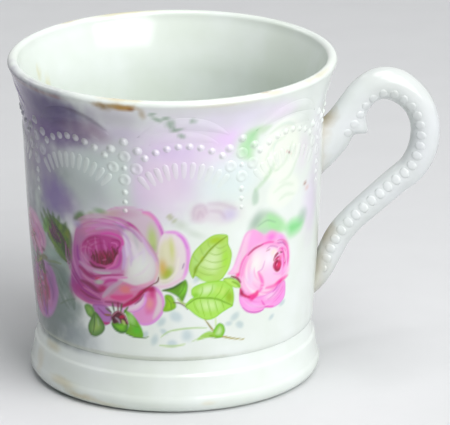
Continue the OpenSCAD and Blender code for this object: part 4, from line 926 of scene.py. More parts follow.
def half_open_rose(p):
    """The half-open rose at the right, with its calyx and crimson heart."""
    p.petal([(12.2, 39.4), (13.4, 40.6), (14.6, 43.6), (15.8, 47), (17, 49.9), (18.8, 50.8),
             (21, 50), (22.6, 48), (20.4, 46), (18.2, 44.2), (16.7, 42), (15.9, 39.5), (15.6, 37.2),
             (14.2, 38.7)], "#efc6e0", 0.85, soft=0.5, edge="#e6a6d4", edge_w=0.9)
    p.wash((18.6, 48.4), (1.8, 2.6), "#f3c6e6", 0.7, turn=-20)
    p.stroke([(13, 39.6), (14.8, 42), (15.6, 44.6)], 1.0, "#f3c9ea", 0.8, 0.4)
    p.stroke([(15.4, 38.8), (16.4, 42.2), (18.4, 44.8)], 0.9, "#ea8cc4", 0.85, 0.35)
    p.petal([(19, 50.4), (21.4, 49.6), (23.6, 48.8), (25.4, 49.5), (27.6, 48.6), (30, 46.9),
             (31.9, 45), (33, 42.6), (33.4, 40), (33, 36.6), (31, 34), (25, 42), (20, 45.6),
             (17.6, 44.2)], "#efb0de", 0.85, soft=0.7)
    p.wash((25.6, 47.4), (1.9, 1.3), "#ee8ad8", 0.8)
    p.wash((29.4, 46.4), (2, 1.1), "#efaee8", 0.8, turn=-35)
    p.wash((22, 47.4), (1.8, 1.0), "#eeb0dc", 0.8, turn=-20)
    p.petal([(15.8, 36.4), (16, 39.6), (17, 42.4), (18.7, 44.5), (20.6, 45.7), (23, 46.3),
             (25.6, 46), (28.2, 45.4), (30.4, 43.9), (31.9, 41.6), (32.2, 38.5), (31.2, 35.4),
             (29.6, 32.8), (27, 31.3), (23.5, 30.9), (20.5, 31), (18.1, 32.1), (16.5, 34)],
            "#f5cbe6", 1.0, soft=0.3, edge="#efa3d4", edge_w=1.8)
    p.wash((18.2, 41.4), (1.2, 3.2), "#f3a3d2", 0.7, turn=-18)
    p.wash((20.6, 40.4), (2.6, 4.6), "#f6f3f4", 0.9, turn=-8, edge=0.1)
    p.wash((18.8, 37), (1.6, 2.6), "#f1d2f0", 0.9, edge=0.1)
    p.wash((24.8, 41.2), (2.8, 3.6), "#fbeef5", 0.85)
    p.wash((26.8, 42.8), (1.3, 1.2), "#f4e2da", 0.9, edge=0.2)
    p.wash((25, 36.8), (2.8, 2.8), "#f8cfec", 0.7)
    p.stroke([(18, 43.8), (20, 45.3), (22.8, 46)], 0.7, "#bb5680", 0.9, 0.25)
    p.stroke([(22.6, 46.1), (24.6, 46.2), (26.6, 45.8)], 0.6, "#e873b4", 0.85, 0.25)
    p.stroke([(24.2, 44.4), (25.6, 44.9), (27.6, 44.2), (28.8, 43.2)], 0.6, "#d59ac8", 0.85, 0.25)
    p.stroke([(24, 43.8), (25.4, 44)], 0.5, "#b98aa0", 0.7, 0.2)
    p.stroke([(21.2, 38.3), (22.8, 38.9), (23.6, 41)], 0.5, "#e2b3dc", 0.85, 0.25)
    p.stroke([(21.6, 38), (22.8, 35.6), (22.9, 33.6), (21.8, 32.2)], 1.3, "#f183c4", 0.85, 0.5)
    p.stroke([(16.4, 37.8), (16.6, 35.4), (18, 33.2)], 0.7, "#f7cfe8", 0.8, 0.3)
    p.folds((26, 39), np.arange(5.6, 9.6, 0.33), (150, 275),
            ("#f9dcf0", "#ee9ad2", "#f4c4e4", "#fbeef4"), 0.6, 0.5, 31, 0.9)
    # Heart and the petals rolled round it
    p.wash((30.4, 40), (2.2, 4.2), "#f19ad6", 0.85, turn=6, edge=0.2)
    p.petal([(26.6, 38.6), (27.2, 39.9), (28.4, 40.3), (29.6, 39.8), (29.9, 38.4), (29.2, 36.9),
             (27.9, 36.9)], "#b01462", 1.0, soft=0.3)
    p.stroke([(26.7, 40.4), (27.3, 41.6), (28.6, 42.3), (30.2, 42.1)], 0.7, "#a0145a", 0.9, 0.25)
    p.stroke([(27.2, 40.3), (28.2, 41), (29.4, 41)], 0.6, "#b0246a", 0.9, 0.2)
    p.wash((29.6, 41), (1.0, 0.6), "#e9a0c4", 0.9)
    p.stroke([(27.4, 41.2), (28.6, 42.2), (30, 42)], 0.4, "#7c1046", 0.95, 0.2)
    p.stroke([(26.9, 39), (27.9, 39.4), (28, 40.6), (28.8, 41)], 0.5, "#8a0e48", 0.9, 0.2)
    p.stroke([(27, 38.2), (28.2, 37.2), (29.4, 37.4)], 0.5, "#960e4c", 0.9, 0.2)
    p.wash((28.9, 38.6), (0.8, 0.8), "#d8206e", 0.95, edge=0.2)
    p.wash((29.3, 40.3), (0.6, 0.6), "#e0739c", 0.8)
    p.stroke([(26.4, 40), (26.7, 41.8), (27.6, 43)], 0.5, "#f9e6ec", 0.85, 0.2)
    p.folds((28.4, 39.6), np.arange(2.2, 4.9, 0.2), (-80, 95),
            ("#fbe0f0", "#d7539c", "#f09ccc", "#c4327a", "#f6bfe0"), 0.4, 0.85, 41, 1.3)
    p.folds((28.5, 39.4), np.arange(0.6, 2.2, 0.2), (20, 330),
            ("#7c0c42", "#e2458a", "#a01450", "#c81c6a", "#f08ac0"), 0.32, 0.95, 43, 1.4)
    for points, width, colour in (
            ([(28.8, 43.6), (30.6, 42.6), (31.2, 40.4), (31, 38)], 0.5, "#d95aa6"),
            ([(29, 44.4), (31.2, 43.2), (32, 40.6), (31.8, 37.6), (30.8, 35.8)], 0.5, "#fac3ea"),
            ([(30.4, 45), (32.2, 42.8), (32.8, 40), (32.6, 37.4)], 0.6, "#ef86c6"),
            ([(30.6, 42.8), (31.4, 41), (31.3, 39)], 0.4, "#fbd4ee"),
            ([(27, 36.6), (29, 36), (30.8, 36.8), (31.4, 38.4)], 0.5, "#f7b3e0"),
            ([(28, 45.2), (30, 44.8), (31.4, 43.8)], 0.5, "#c77fb8")):
        p.stroke(points, width, colour, 0.85, 0.22)
    p.stroke([(26.4, 34.6), (29, 34.6), (31.6, 35.4), (33.4, 36)], 0.5, "#f8c9ea", 0.8, 0.3)
    p.stroke([(24.4, 33), (27.4, 33), (30.6, 34), (32.8, 34.6)], 1.2, "#ee84bd", 0.85, 0.45)
    p.wash((29.6, 33.6), (1.7, 0.8), "#e4509a", 0.8, turn=10)
    p.wash((32.6, 36.4), (1.2, 1.6), "#f7cfe8", 0.7)
    # Petals under the bowl
    p.petal([(15.9, 34.4), (15.7, 31.2), (16.6, 29), (18.2, 27.4), (20.5, 26.5), (23, 26.5),
             (24.6, 27.3), (27, 26.7), (29.8, 27.1), (31.8, 28.6), (32.1, 31), (31.4, 33.4),
             (28, 31.9), (23.6, 30.9), (19.4, 31.2), (17.4, 32.6)], "#f5afe4", 1.0, soft=0.3,
            edge="#da86d2", edge_w=0.4)
    p.wash((20, 28.8), (2.4, 1.3), "#fbbdf0", 0.8)
    p.wash((26.6, 30.2), (2.6, 1.0), "#f8d9f0", 0.9)
    p.wash((29.6, 29), (2, 1.2), "#f3a6e4", 0.7)
    p.wash((30.8, 31.6), (1.2, 1.4), "#efa0d8", 0.7)
    p.stroke([(23, 29.6), (24, 28.2), (24.9, 27.4), (27.4, 27)], 0.6, "#e46fc0", 0.85, 0.25)
    p.stroke([(16.8, 28.8), (18.6, 27.3), (21.4, 26.6), (23.8, 26.8)], 0.4, "#c768b6", 0.8, 0.22)
    p.petal([(18.2, 31.8), (19.4, 30.2), (20.4, 30.6), (21.8, 31.6), (21.6, 33), (20.2, 32.4)],
            "#e23f92", 0.9, soft=0.45)
    p.stroke([(15.9, 34.6), (16.4, 33), (17.6, 32), (18.8, 31.4)], 0.9, "#c5146c", 0.95, 0.3)
    p.wash((16.3, 33), (0.7, 0.9), "#9c0f52", 0.9)
    p.folds((24, 37), np.arange(7.0, 10.6, 0.36), (215, 325),
            ("#fbd3f2", "#e88fd0", "#f6b8e6", "#d77fc4"), 0.5, 0.6, 51, 0.95)
    # Calyx
    p.petal([(10.8, 37.9), (12.6, 38), (14.4, 37.3), (15.6, 36.2), (15.9, 35), (14.8, 34.9),
             (13.2, 35.6), (11.8, 36.6)], "#b7dd74", 0.95, soft=0.25, edge="#86b63a", edge_w=0.4)
    p.stroke([(13.4, 36.9), (14.8, 36.1), (15.8, 34.9)], 0.6, "#7ba62a", 0.9, 0.2)
    p.stroke([(10.6, 38), (12.4, 38.2), (14, 37.6)], 0.3, "#7fa030", 0.8, 0.2)
    p.stroke([(13, 38.5), (14.4, 37.9), (15.2, 37.2), (15.9, 36.2)], 0.7, "#7c1433", 0.95, 0.2)
    p.wash((15, 38.6), (0.7, 0.7), "#f0559c", 0.9)


# The handle's middle, and so the first arch, lies a quarter turn from the drinking side
HANDLE_ALONG = math.pi / 2 * FLAT_R


def wear_soil_and_waist_shade(p):
    """Worn gilding on the lip, brown soil on the foot, a few marks inside the cup, and a band of
    painted shade at the waist.
    """
    for place, size, colour, strength in (
            ((-17, 88.2), (5.4, 0.9), "#a98d55", 0.85), ((-19.6, 87.6), (1.6, 1.2), "#8a6f3c", 0.8),
            ((-14, 87.9), (2.4, 0.8), "#b08a4e", 0.8), ((-12.8, 87.6), (0.9, 0.5), "#8d5f38", 0.8),
            ((-10.2, 86.2), (1.0, 1.6), "#b3a58c", 0.7), ((-16, 90.4), (6, 0.8), "#d8cdb0", 0.7),
            ((-38, 88), (8, 0.6), "#8f6a63", 0.6), ((-50, 88), (6, 0.6), "#8d7680", 0.5),
            ((21, 90.6), (1.6, 0.5), "#b08e62", 0.7), ((23, 89.6), (3, 0.6), "#d9cdb4", 0.5),
            ((10, 88.6), (8, 0.5), "#ddd6c4", 0.4), ((40, 90), (7, 0.7), "#d3c9ac", 0.5),
            ((-116, 91.2), (8, 0.8), "#cfc39d", 0.6), ((-100, 91), (4, 0.5), "#c2b083", 0.5),
            ((-84, 106), (1.5, 3.5), "#e0d9b4", 0.6), ((-80, 101), (1, 2), "#ddd6b0", 0.5),
            ((-46, 12.4), (4, 1.2), "#cdc3a4", 0.5), ((-38, 4.4), (6, 1.4), "#cfc4a2", 0.5),
            ((-31, 2.2), (5, 1.0), "#c9b98e", 0.5), ((-22, 1.4), (4, 0.8), "#d3c8a8", 0.4),
            ((-52, 7), (3, 3), "#d8d0b6", 0.4), ((6, 3), (2, 0.6), "#ddd6c0", 0.4)):
        p.wash(place, size, colour, strength, edge=0.1, rough=0.9)
    # Soil on the wall beside the two ends of the handle
    for side in (-1, 1):
        for z, strength in ((37, 0.75), (30, 0.45), (70, 0.7), (64, 0.4)):
            p.wash((HANDLE_ALONG + side * 4.6, z), (1.7, 4.2), "#a98a48", strength, rough=0.8)
    for a, z, size in ((-58, 97, 0.35), (-92, 104, 0.4), (-84, 112, 0.3), (-28, 20.5, 0.25),
                       (28, 8, 0.2)):
        p.wash((a, z), (size, size), "#7d5a3c", 0.8, edge=0.3)
    # A thin grey band of painted shade along the waist, in the crease above the foot
    p.wash((-21, 15.4), (40, 0.7), "#b9bdae", 0.5, edge=0.4, rough=0.4)


# The front sheet of the print runs this much past a quarter turn at the left, and the back sheet
# stops as much short of one at the right. Each thins out to the left between two places counted
# from its end, along a line as ragged as this, and to the right over the last few millimetres.
FRONT_EXTRA, RAGGED, RIGHT_FADE = 15, 6, 8
FRONT_FADE, BACK_FADE = (0, 12), (8, 34)
# Both sheets end at the waist, between these heights
PRINT_LOW_Z, PRINT_FULL_Z = 12.6, 14.6


def print_colours(along, z):
    """Linear colour of the glazed ware at points of the wall, for both sheets, the wear and the
    painted shade.
    """
    quarter = math.pi / 2 * FLAT_R
    on_front = (along > -quarter - FRONT_EXTRA) & (along < quarter)
    colours = np.empty((len(along), 3))
    for front in (True, False):
        here = np.nonzero(on_front == front)[0]
        place = along[here] - (0 if front else 2 * quarter) * np.sign(along[here])
        p = Print(place, z[here])
        ground(p)
        faint_flowers(p)
        if front:
            left_roses(p)
        big_rose(p)
        bud_and_leaves(p)
        half_open_rose(p)
        left, right, fade = (-quarter - FRONT_EXTRA, quarter, FRONT_FADE) if front else (
            -quarter, quarter - FRONT_EXTRA, BACK_FADE)
        ragged = place + RAGGED * (ripple(place, z[here], RAGGED, 9) - 0.5)
        thin = (soft_step(ragged, left + fade[0], left + fade[1])
                * (1 - soft_step(place, right - RIGHT_FADE, right))
                * soft_step(z[here], PRINT_LOW_Z, PRINT_FULL_Z))[:, None]
        colours[here] = GLAZE_WHITE + thin * (p.colour - GLAZE_WHITE)
    p = Print(along, z)
    p.colour = colours
    wear_soil_and_waist_shade(p)
    return p.colour


# Points that lie deeper than this under the outer surface belong to the inside of the cup
SKIN = 0.8
# How far before the middle of the back the count along the print starts anew
BACK_TURN = 6


def colour_points(piece, colours):
    """Stores linear colours, one row for each point or one for all, as the piece's print."""
    rows = np.ones((len(piece.data.vertices), 4), np.float32)
    rows[:, :3] = colours
    stored = piece.data.attributes.new("print", "FLOAT_COLOR", "POINT")
    stored.data.foreach_set("color", rows.ravel())


def paint(piece, highlight_share=0.0):
    """Gives every point of a piece the colour of the print, the soil and the painted shade where it
    lies.

    Past the lip the drawing runs on over it and down the inside. The highlight share of the print
    is turned towards the glaze white, as painted highlight on the raised work.
    """
    points = np.zeros(len(piece.data.vertices) * 3, np.float32)
    piece.data.vertices.foreach_get("co", points)
    x, y, z = points.reshape(-1, 3).T / MM
    along = np.arctan2(x, -y) * FLAT_R
    along = np.where(along > math.pi * FLAT_R - BACK_TURN, along - 2 * math.pi * FLAT_R, along)
    r = np.hypot(x, y)
    lip = LIP_T / 2
    over = LIP_MID_Z + lip * np.clip(np.arctan2(z - LIP_MID_Z, r - LIP_R + lip), 0, math.pi)
    inside = LIP_MID_Z + lip * math.pi + LIP_MID_Z - z
    z = np.where(z > LIP_MID_Z, over, np.where(r > wall_r(z) - SKIN, z, inside))
    colours = print_colours(along, z)
    colour_points(piece, colours + highlight_share * (GLAZE_WHITE - colours))


paint(cup_body)

# Clear lead glaze on white porcelain: a hard, wet gloss over a white that leans to green, a little
# clouded, with the long soft waves that a dipped glaze keeps. Clouds and waves in millimetres.
GLAZE_CLOUD, GLAZE_WAVE, GLAZE_WAVE_H = 18.2, 11.1, 0.2
glaze, tree, shader, coords = new_material("clear_glaze_over_print")
printed = add(tree, "Attribute", attribute_name="print")
cloud = add(tree, "TexNoise", [("Vector", coords.outputs["Object"])],
            Scale=1 / (GLAZE_CLOUD * MM), Detail=3.0)
tint = add(tree, "ValToRGB", [("Fac", cloud.outputs["Fac"])])
tint.color_ramp.elements[0].position, tint.color_ramp.elements[1].position = 0.35, 0.7
tint.color_ramp.elements[0].color = (*linear("#f4f6f0"), 1)
tint.color_ramp.elements[1].color = (*linear("#ffffff"), 1)
toned = add(tree, "Mix", data_type="RGBA", blend_type="MULTIPLY")
toned.inputs["Factor"].default_value = 1.0
tree.links.new(printed.outputs["Color"], toned.inputs[6])
tree.links.new(tint.outputs["Color"], toned.inputs[7])
tree.links.new(toned.outputs[2], shader.inputs["Base Color"])
wave = add(tree, "TexNoise", [("Vector", coords.outputs["Object"])],
           Scale=1 / (GLAZE_WAVE * MM), Detail=2.0)
bump = add(tree, "Bump", [("Height", wave.outputs["Fac"])], Strength=0.25,
           Distance=GLAZE_WAVE_H * MM)
tree.links.new(bump.outputs["Normal"], shader.inputs["Normal"])
shader.inputs["Roughness"].default_value = 0.14
shader.inputs["IOR"].default_value = 1.5
cup_body.data.materials.append(glaze)


# Foot
# The hollow flared pedestal, of the same porcelain and luted on under the floor, with a round edge
# and a flat ring to stand on.
FOOT_EDGE_R, FOOT_ROUND_R, FOOT_ROUND_END = 36.6, 3.4, 30
FOOT_RING_R, FOOT_HOLLOW_R, FOOT_CURVE_POWER = 34.0, 33.7, 1.2
# The inner edge of the ring is worn off at a slant
FOOT_RING_SLANT = 0.4
foot_turn = np.radians(np.linspace(-90, FOOT_ROUND_END, 15))
foot_top_r = FOOT_EDGE_R + FOOT_ROUND_R * math.cos(math.radians(FOOT_ROUND_END))
foot_top_z = FOOT_ROUND_R * (1 + math.sin(math.radians(FOOT_ROUND_END)))
# A soft crease runs round under the waist, where the mould for the foot was parted. It rises over
# a short way to its full height, and runs out downwards over a long one.
FOOT_CREASE_Z, FOOT_CREASE = FOOT_H - 4.0, 0.4
CREASE_RISE, CREASE_RUN = (-0.4, 0.5), 3.0


def crease(z):
    """How far the crease lifts the foot at a height."""
    under = FOOT_CREASE_Z - z
    return (FOOT_CREASE * float(soft_step(under, *CREASE_RISE))
            * math.exp(-(max(0.0, under) / CREASE_RUN) ** 2))


foot_outline = (
    [(FOOT_HOLLOW_R, FOOT_H)]
    + [(FOOT_HOLLOW_R + (FOOT_RING_R - FOOT_HOLLOW_R) * t,
        FOOT_H - (FOOT_H - FOOT_RING_SLANT) * t) for t in np.linspace(0.1, 1, 10)]
    + [(FOOT_RING_R + FOOT_RING_SLANT, 0)]
    + [(FOOT_EDGE_R + FOOT_ROUND_R * math.cos(a), FOOT_ROUND_R * (1 + math.sin(a)))
       for a in foot_turn]
    + [(WAIST_R + (foot_top_r - WAIST_R) * left ** FOOT_CURVE_POWER
        + crease(FOOT_H - (FOOT_H - foot_top_z) * left),
        FOOT_H - (FOOT_H - foot_top_z) * left) for left in np.linspace(0.97, 0, 42)]
)
foot = finish_piece(
    turn_round(foot_outline + foot_outline[:1], [(0, 0), (2 * math.pi, 240)]), "foot")
paint(foot)
foot.data.materials.append(glaze)


# Mustache guard
# A ledge inside the lip on the drinking side, cut from a thrown disc, with a half-moon slot by the
# wall; its edges are sponged round before the glaze.
GUARD_Z, GUARD_T, GUARD_REACH, GUARD_EDGE_R = 81.0, 2.6, 22.0, 60.0
SLOT_REACH, SLOT_R = 7.0, 20.0
GUARD_IN_WALL, GUARD_ROUND = 1.0, 0.9
guard_wall_r = float(bore_r(GUARD_Z))
guard_outer_r = guard_wall_r + GUARD_IN_WALL
edge_y = -(guard_wall_r - GUARD_REACH + GUARD_EDGE_R)
slot_y = -(guard_wall_r - SLOT_REACH + SLOT_R)


def crossing(circle_y, circle_r):
    """Where a circle on the Y axis crosses the guard's outer edge, at the side of +X."""
    y = (guard_outer_r ** 2 - circle_r ** 2 + circle_y ** 2) / (2 * circle_y)
    return math.sqrt(guard_outer_r ** 2 - y ** 2), y


def arc(centre_y, radius, start, end, steps):
    """Points on a circle on the Y axis, from one point to another, through the shorter way."""
    a, b = (math.atan2(p[1] - centre_y, p[0]) for p in (start, end))
    b = a + (b - a + math.pi) % (2 * math.pi) - math.pi
    return [(radius * math.cos(t), centre_y + radius * math.sin(t))
            for t in np.linspace(a, b, steps)[:-1]]


def flip(point):
    """The same point at the side of -X."""
    return -point[0], point[1]


edge_end, slot_end = crossing(edge_y, GUARD_EDGE_R), crossing(slot_y, SLOT_R)
guard_plan = (arc(edge_y, GUARD_EDGE_R, edge_end, flip(edge_end), 60)
              + arc(0, guard_outer_r, flip(edge_end), flip(slot_end), 24)
              + arc(slot_y, SLOT_R, flip(slot_end), slot_end, 50)
              + arc(0, guard_outer_r, slot_end, edge_end, 24))
bm = bmesh.new()
plate = bm.faces.new([bm.verts.new(Vector((x, y, GUARD_Z - GUARD_T)) * MM) for x, y in guard_plan])
raised = bmesh.ops.extrude_face_region(bm, geom=[plate])
bmesh.ops.translate(bm, vec=Vector((0, 0, GUARD_T * MM)),
                    verts=[v for v in raised["geom"] if isinstance(v, bmesh.types.BMVert)])
rims = [e for e in bm.edges if abs(e.verts[0].co.z - e.verts[1].co.z) < GUARD_T / 2 * MM]
bmesh.ops.bevel(bm, geom=rims, offset=GUARD_ROUND * MM, offset_type="OFFSET", segments=4,
                profile=0.5, affect="EDGES", material=-1, clamp_overlap=True)
guard = finish_piece(bm, "mustache_guard")
# The two flat sides are shaded flat, up to where the rounding starts
LEVEL = 0.999
for face in guard.data.polygons:
    face.use_smooth = abs(face.normal.z) < LEVEL
paint(guard)
guard.data.materials.append(glaze)


# Raised band
# Pressed in the mould and filled a little by the glaze: two ribs over each arch, a row of pearls
# under them, three larger pearls in each peak with a rosette and a pendant row below, and a shell
# of flutes in each arch.
ARCHES = 8
ARCH_ALONG = 2 * math.pi / ARCHES * FLAT_R


def sweep(bm, rings):
    """A closed tube through rings of points in metres: each ring is drawn out of the one before."""
    verts = [bm.verts.new(p) for p in rings[0]]
    loop = [bm.edges.new((a, b)) for a, b in zip(verts, verts[1:] + verts[:1])]
    bm.faces.new(verts)
    for ring in rings[1:]:
        made = bmesh.ops.extrude_edge_only(bm, edges=loop)["geom"]
        fresh = {v for v in made if isinstance(v, bmesh.types.BMVert)}
        verts = [next(e.other_vert(v) for e in v.link_edges if e.other_vert(v) in fresh)
                 for v in verts]
        for v, p in zip(verts, ring):
            v.co = p
        loop = [e for e in made if isinstance(e, bmesh.types.BMEdge) and fresh.issuperset(e.verts)]
    bm.faces.new(verts)


# All raised work is closed this deep inside the wall
ROOT = 0.5
# A ridge's soft feet reach past its half width by this much, and end a little under the surface
RIDGE_REACH, RIDGE_POWER, RIDGE_SUNK, RIDGE_ROOT_SHARE = 1.35, 1.3, 0.03, 0.5
# A rib thins out to this share of its size at its tips
RIB_TIP, RIB_POWER = 0.1, 2.4


def ridge_ring(middle, across, half, height):
    """A ring over the wall at middle (along, z): a round ridge with soft feet, closed inside it."""
    shares = [(t, height * max(0.0, math.cos(math.pi / 2 * t / RIDGE_REACH)) ** RIDGE_POWER
               - RIDGE_SUNK) for t in np.linspace(-RIDGE_REACH, RIDGE_REACH, 11)]
    shares += [(RIDGE_ROOT_SHARE, -ROOT), (-RIDGE_ROOT_SHARE, -ROOT)]
    return [on_wall(middle[0] + across[0] * t * half, middle[1] + across[1] * t * half, lift)
            for t, lift in shares]


def ribs(name, drop, rise, span_share, width, height):
    """One bowed rib over each arch, its top a drop below the lip and its ends a rise lower."""
    bm = bmesh.new()
    top_z = CUP_H - drop
    half = float(wall_r(top_z)) * math.sin(span_share * math.pi / ARCHES)
    bow_r = (half ** 2 + rise ** 2) / (2 * rise)
    reach = math.asin(half / bow_r)
    for arch in range(ARCHES):
        rings = []
        for t in np.linspace(-1, 1, 29):
            side, z = bow_r * math.sin(t * reach), top_z - bow_r * (1 - math.cos(t * reach))
            along = FLAT_R * math.asin(side / float(wall_r(z)))
            fade = (1 - abs(t) ** RIB_POWER) * (1 - RIB_TIP) + RIB_TIP
            rings.append(ridge_ring(
                (HANDLE_ALONG + ARCH_ALONG * arch + along, z),
                (-math.sin(t * reach), -math.cos(t * reach)), width / 2 * fade, height * fade))
        sweep(bm, rings)
    piece = finish_piece(bm, name)
    paint(piece)
    piece.data.materials.append(glaze)


ribs("upper_arch_ribs", drop=6.6, rise=4.4, span_share=0.74, width=3.0, height=0.3)
ribs("lower_arch_ribs", drop=10.6, rise=2.6, span_share=0.58, width=2.6, height=0.2)

# A pearl turned about its own axis: a dome whose foot runs out into the glaze
pearl_outline = [(math.cos(a) * 0.66, math.sin(a) * 0.44)
                 for a in np.radians(np.linspace(90, 25, 7))] + [
    (0.7, 0.13), (0.82, 0.05), (0.98, 0.005), (1.1, -0.06), (0, -0.25)]
# A rosette's petal turned the same way: a soft rim round a shallow hollow
petal_outline = [(0, 0.03), (0.2, 0.04), (0.38, 0.075), (0.54, 0.11), (0.68, 0.125), (0.8, 0.105),
                 (0.92, 0.06), (1.04, 0.01), (1.16, -0.03), (1.26, -0.08), (0, -0.25)]


def pearls(name, places):
    """Pearls as one piece: places are (point in metres, direction out, diameter in mm, outline)."""
    whole = bmesh.new()
    for place, out, diameter, outline in places:
        r = diameter / 2 * MM
        one = bmesh.new()
        verts = [one.verts.new((x * r, 0, z * r)) for x, z in outline]
        edges = [one.edges.new(pair) for pair in zip(verts, verts[1:])]
        bmesh.ops.spin(one, geom=verts + edges, cent=(0, 0, 0), axis=(0, 0, 1),
                       angle=2 * math.pi, steps=16, use_merge=True)
        bmesh.ops.remove_doubles(one, verts=one.verts, dist=SAME_POINT * MM)
        bmesh.ops.transform(one, verts=one.verts, matrix=Matrix.Translation(place)
                            @ out.to_track_quat("Z", "Y").to_matrix().to_4x4())
        loose = bpy.data.meshes.new("pearl")
        one.to_mesh(loose)
        one.free()
        whole.from_mesh(loose)
        bpy.data.meshes.remove(loose)
    return finish_piece(whole, name)


def wall_pearl(along, z, diameter, outline=pearl_outline):
    """Place, direction, diameter and outline of a pearl on the wall."""
    rise = float(wall_r(z + 0.5) - wall_r(z - 0.5))
    out = Vector((math.sin(along / FLAT_R), -math.cos(along / FLAT_R), -rise)).normalized()
    return on_wall(along, z), out, diameter, outline


# Each row's top, how far its last pearl hangs below that, and its reach as a share of half an arch
ARCH_BEADS, ARCH_BEAD_D = 8, 2.2
ARCH_BEAD_Z, ARCH_BEAD_SAG, ARCH_BEAD_SPAN = 76.6, 3.4, 0.65
PEAK_BEAD_D, PEAK_BEAD_Z, PEAK_BEAD_SAG, PEAK_BEAD_SPAN = 2.7, 77.5, 2.4, 0.23
ROSETTE_Z, ROSETTE_D, PETAL_D, PETAL_REACH = 70.0, 1.7, 3.2, 3.3
# The pendant row's pearls grow smaller downwards by this share, and closer with it
PENDANT_BEADS, PENDANT_D, PENDANT_Z, PENDANT_H, PENDANT_TAPER = 3, 1.9, 63.2, 5.2, 0.25
arch_places, peak_places, rosette_places, pendant_places = [], [], [], []
for arch in range(ARCHES):
    middle = HANDLE_ALONG + ARCH_ALONG * arch
    peak = middle + ARCH_ALONG / 2
    for place in np.linspace(-1, 1, ARCH_BEADS):
        arch_places.append(wall_pearl(middle + place * ARCH_BEAD_SPAN * ARCH_ALONG / 2,
                                      ARCH_BEAD_Z - ARCH_BEAD_SAG * place ** 2, ARCH_BEAD_D))
    for place in (-1, 0, 1):
        peak_places.append(wall_pearl(peak + place * PEAK_BEAD_SPAN * ARCH_ALONG / 2,
                                      PEAK_BEAD_Z - PEAK_BEAD_SAG * abs(place), PEAK_BEAD_D))
    rosette_places.append(wall_pearl(peak, ROSETTE_Z, ROSETTE_D))
    for angle in np.radians((0, 90, 180, 270)):
        z = ROSETTE_Z + PETAL_REACH * math.cos(angle)
        aside = FLAT_R * math.asin(PETAL_REACH * math.sin(angle) / float(wall_r(z)))
        rosette_places.append(wall_pearl(peak + aside, z, PETAL_D, petal_outline))
    for down in np.linspace(0, 1, PENDANT_BEADS):
        share = 1 - PENDANT_TAPER * down
        pendant_places.append(wall_pearl(
            peak, PENDANT_Z - PENDANT_H * down * (1 + share) / (2 - PENDANT_TAPER),
            PENDANT_D * share))
# The print is laid paler on the pearls, towards the glaze white, as painted highlight, and less so
# on the petals
for name, places, highlight_share in (("arch_beads", arch_places, 0.4), ("peak_beads", peak_places, 0.4),
                           ("peak_rosettes", rosette_places, 0.25),
                           ("pendant_beads", pendant_places, 0.4)):
    piece = pearls(name, places)
    paint(piece, highlight_share)
    piece.data.materials.append(glaze)

# Shells: eleven short flutes that point away from a place low in the arch, with soft round tips.
# The handle covers the first arch, which has none.
SHELL_Z, SHELL_R, FLUTES, SHELL_SPREAD, SHELL_HIGHLIGHT_SHARE = 53.0, 19.2, 11, 78.0, 0.35
# Where a flute starts as a share of the shell's radius, its share of the room between its
# neighbours, how much of that its ridge fills, and its height as a share of its half width
FLUTE_START, FLUTE_ROOM, FLUTE_FILL, FLUTE_LIFT = 0.62, 0.9, 0.86, 0.22
# The powers by which it swells along its length and across it
FLUTE_LENGTH_POWER, FLUTE_CROSS_POWER = 1.2, 0.6
flute_slope = FLUTE_ROOM * math.tan(math.radians(SHELL_SPREAD / (FLUTES - 1) / 2))
flute_end = SHELL_R / (1 + flute_slope)


def on_shell(middle, angle, distance, side, out):
    """A point at a distance and angle from the shell's point, and side millimetres across it."""
    x = distance * math.sin(angle) + side * math.cos(angle)
    z = SHELL_Z + distance * math.cos(angle) - side * math.sin(angle)
    return on_wall(middle + FLAT_R * math.asin(x / float(wall_r(z))), z, out)


bm = bmesh.new()
for arch in range(1, ARCHES):
    middle = HANDLE_ALONG + ARCH_ALONG * arch
    for angle in np.radians(np.linspace(-SHELL_SPREAD / 2, SHELL_SPREAD / 2, FLUTES)):
        rings = []
        for t in 1 - np.linspace(1, 0, 12) ** 1.3:
            distance = SHELL_R * (FLUTE_START + (1 - FLUTE_START) * t)
            half = flute_slope * min(distance, flute_end) * FLUTE_FILL
            # The tip is round, and its last ring keeps a little of the width
            past = max(0.0, (distance - flute_end) / (SHELL_R + 0.05 - flute_end))
            half *= math.sqrt(max(0.02, 1 - past ** 2))
            height = half * FLUTE_LIFT * (0.01 + t ** FLUTE_LENGTH_POWER)
            ring = [on_shell(middle, angle, distance, u * half,
                             height * max(0.0, 1 - u * u) ** FLUTE_CROSS_POWER - 0.05)
                    for u in np.linspace(-1, 1, 9)]
            ring += [on_shell(middle, angle, distance, u * half, -ROOT) for u in (0.6, -0.6)]
            rings.append(ring)
        sweep(bm, rings)
shells = finish_piece(bm, "shell_flutes")
# The flutes take the print paler, towards the glaze white, as painted highlight
paint(shells, SHELL_HIGHLIGHT_SHARE)
shells.data.materials.append(glaze)


# Handle
# Cast in a mould of its own and stuck on with slip: an ear-shaped loop of oval section with a small
# spur inside its upper end, a row of pearls along each side, and soil in the joints.
HANDLE_LOW_Z, HANDLE_H, HANDLE_T, HANDLE_HALF_W = 19.8, 64.6, 8.1, 4.3
HANDLE_FAR_X = 69.35
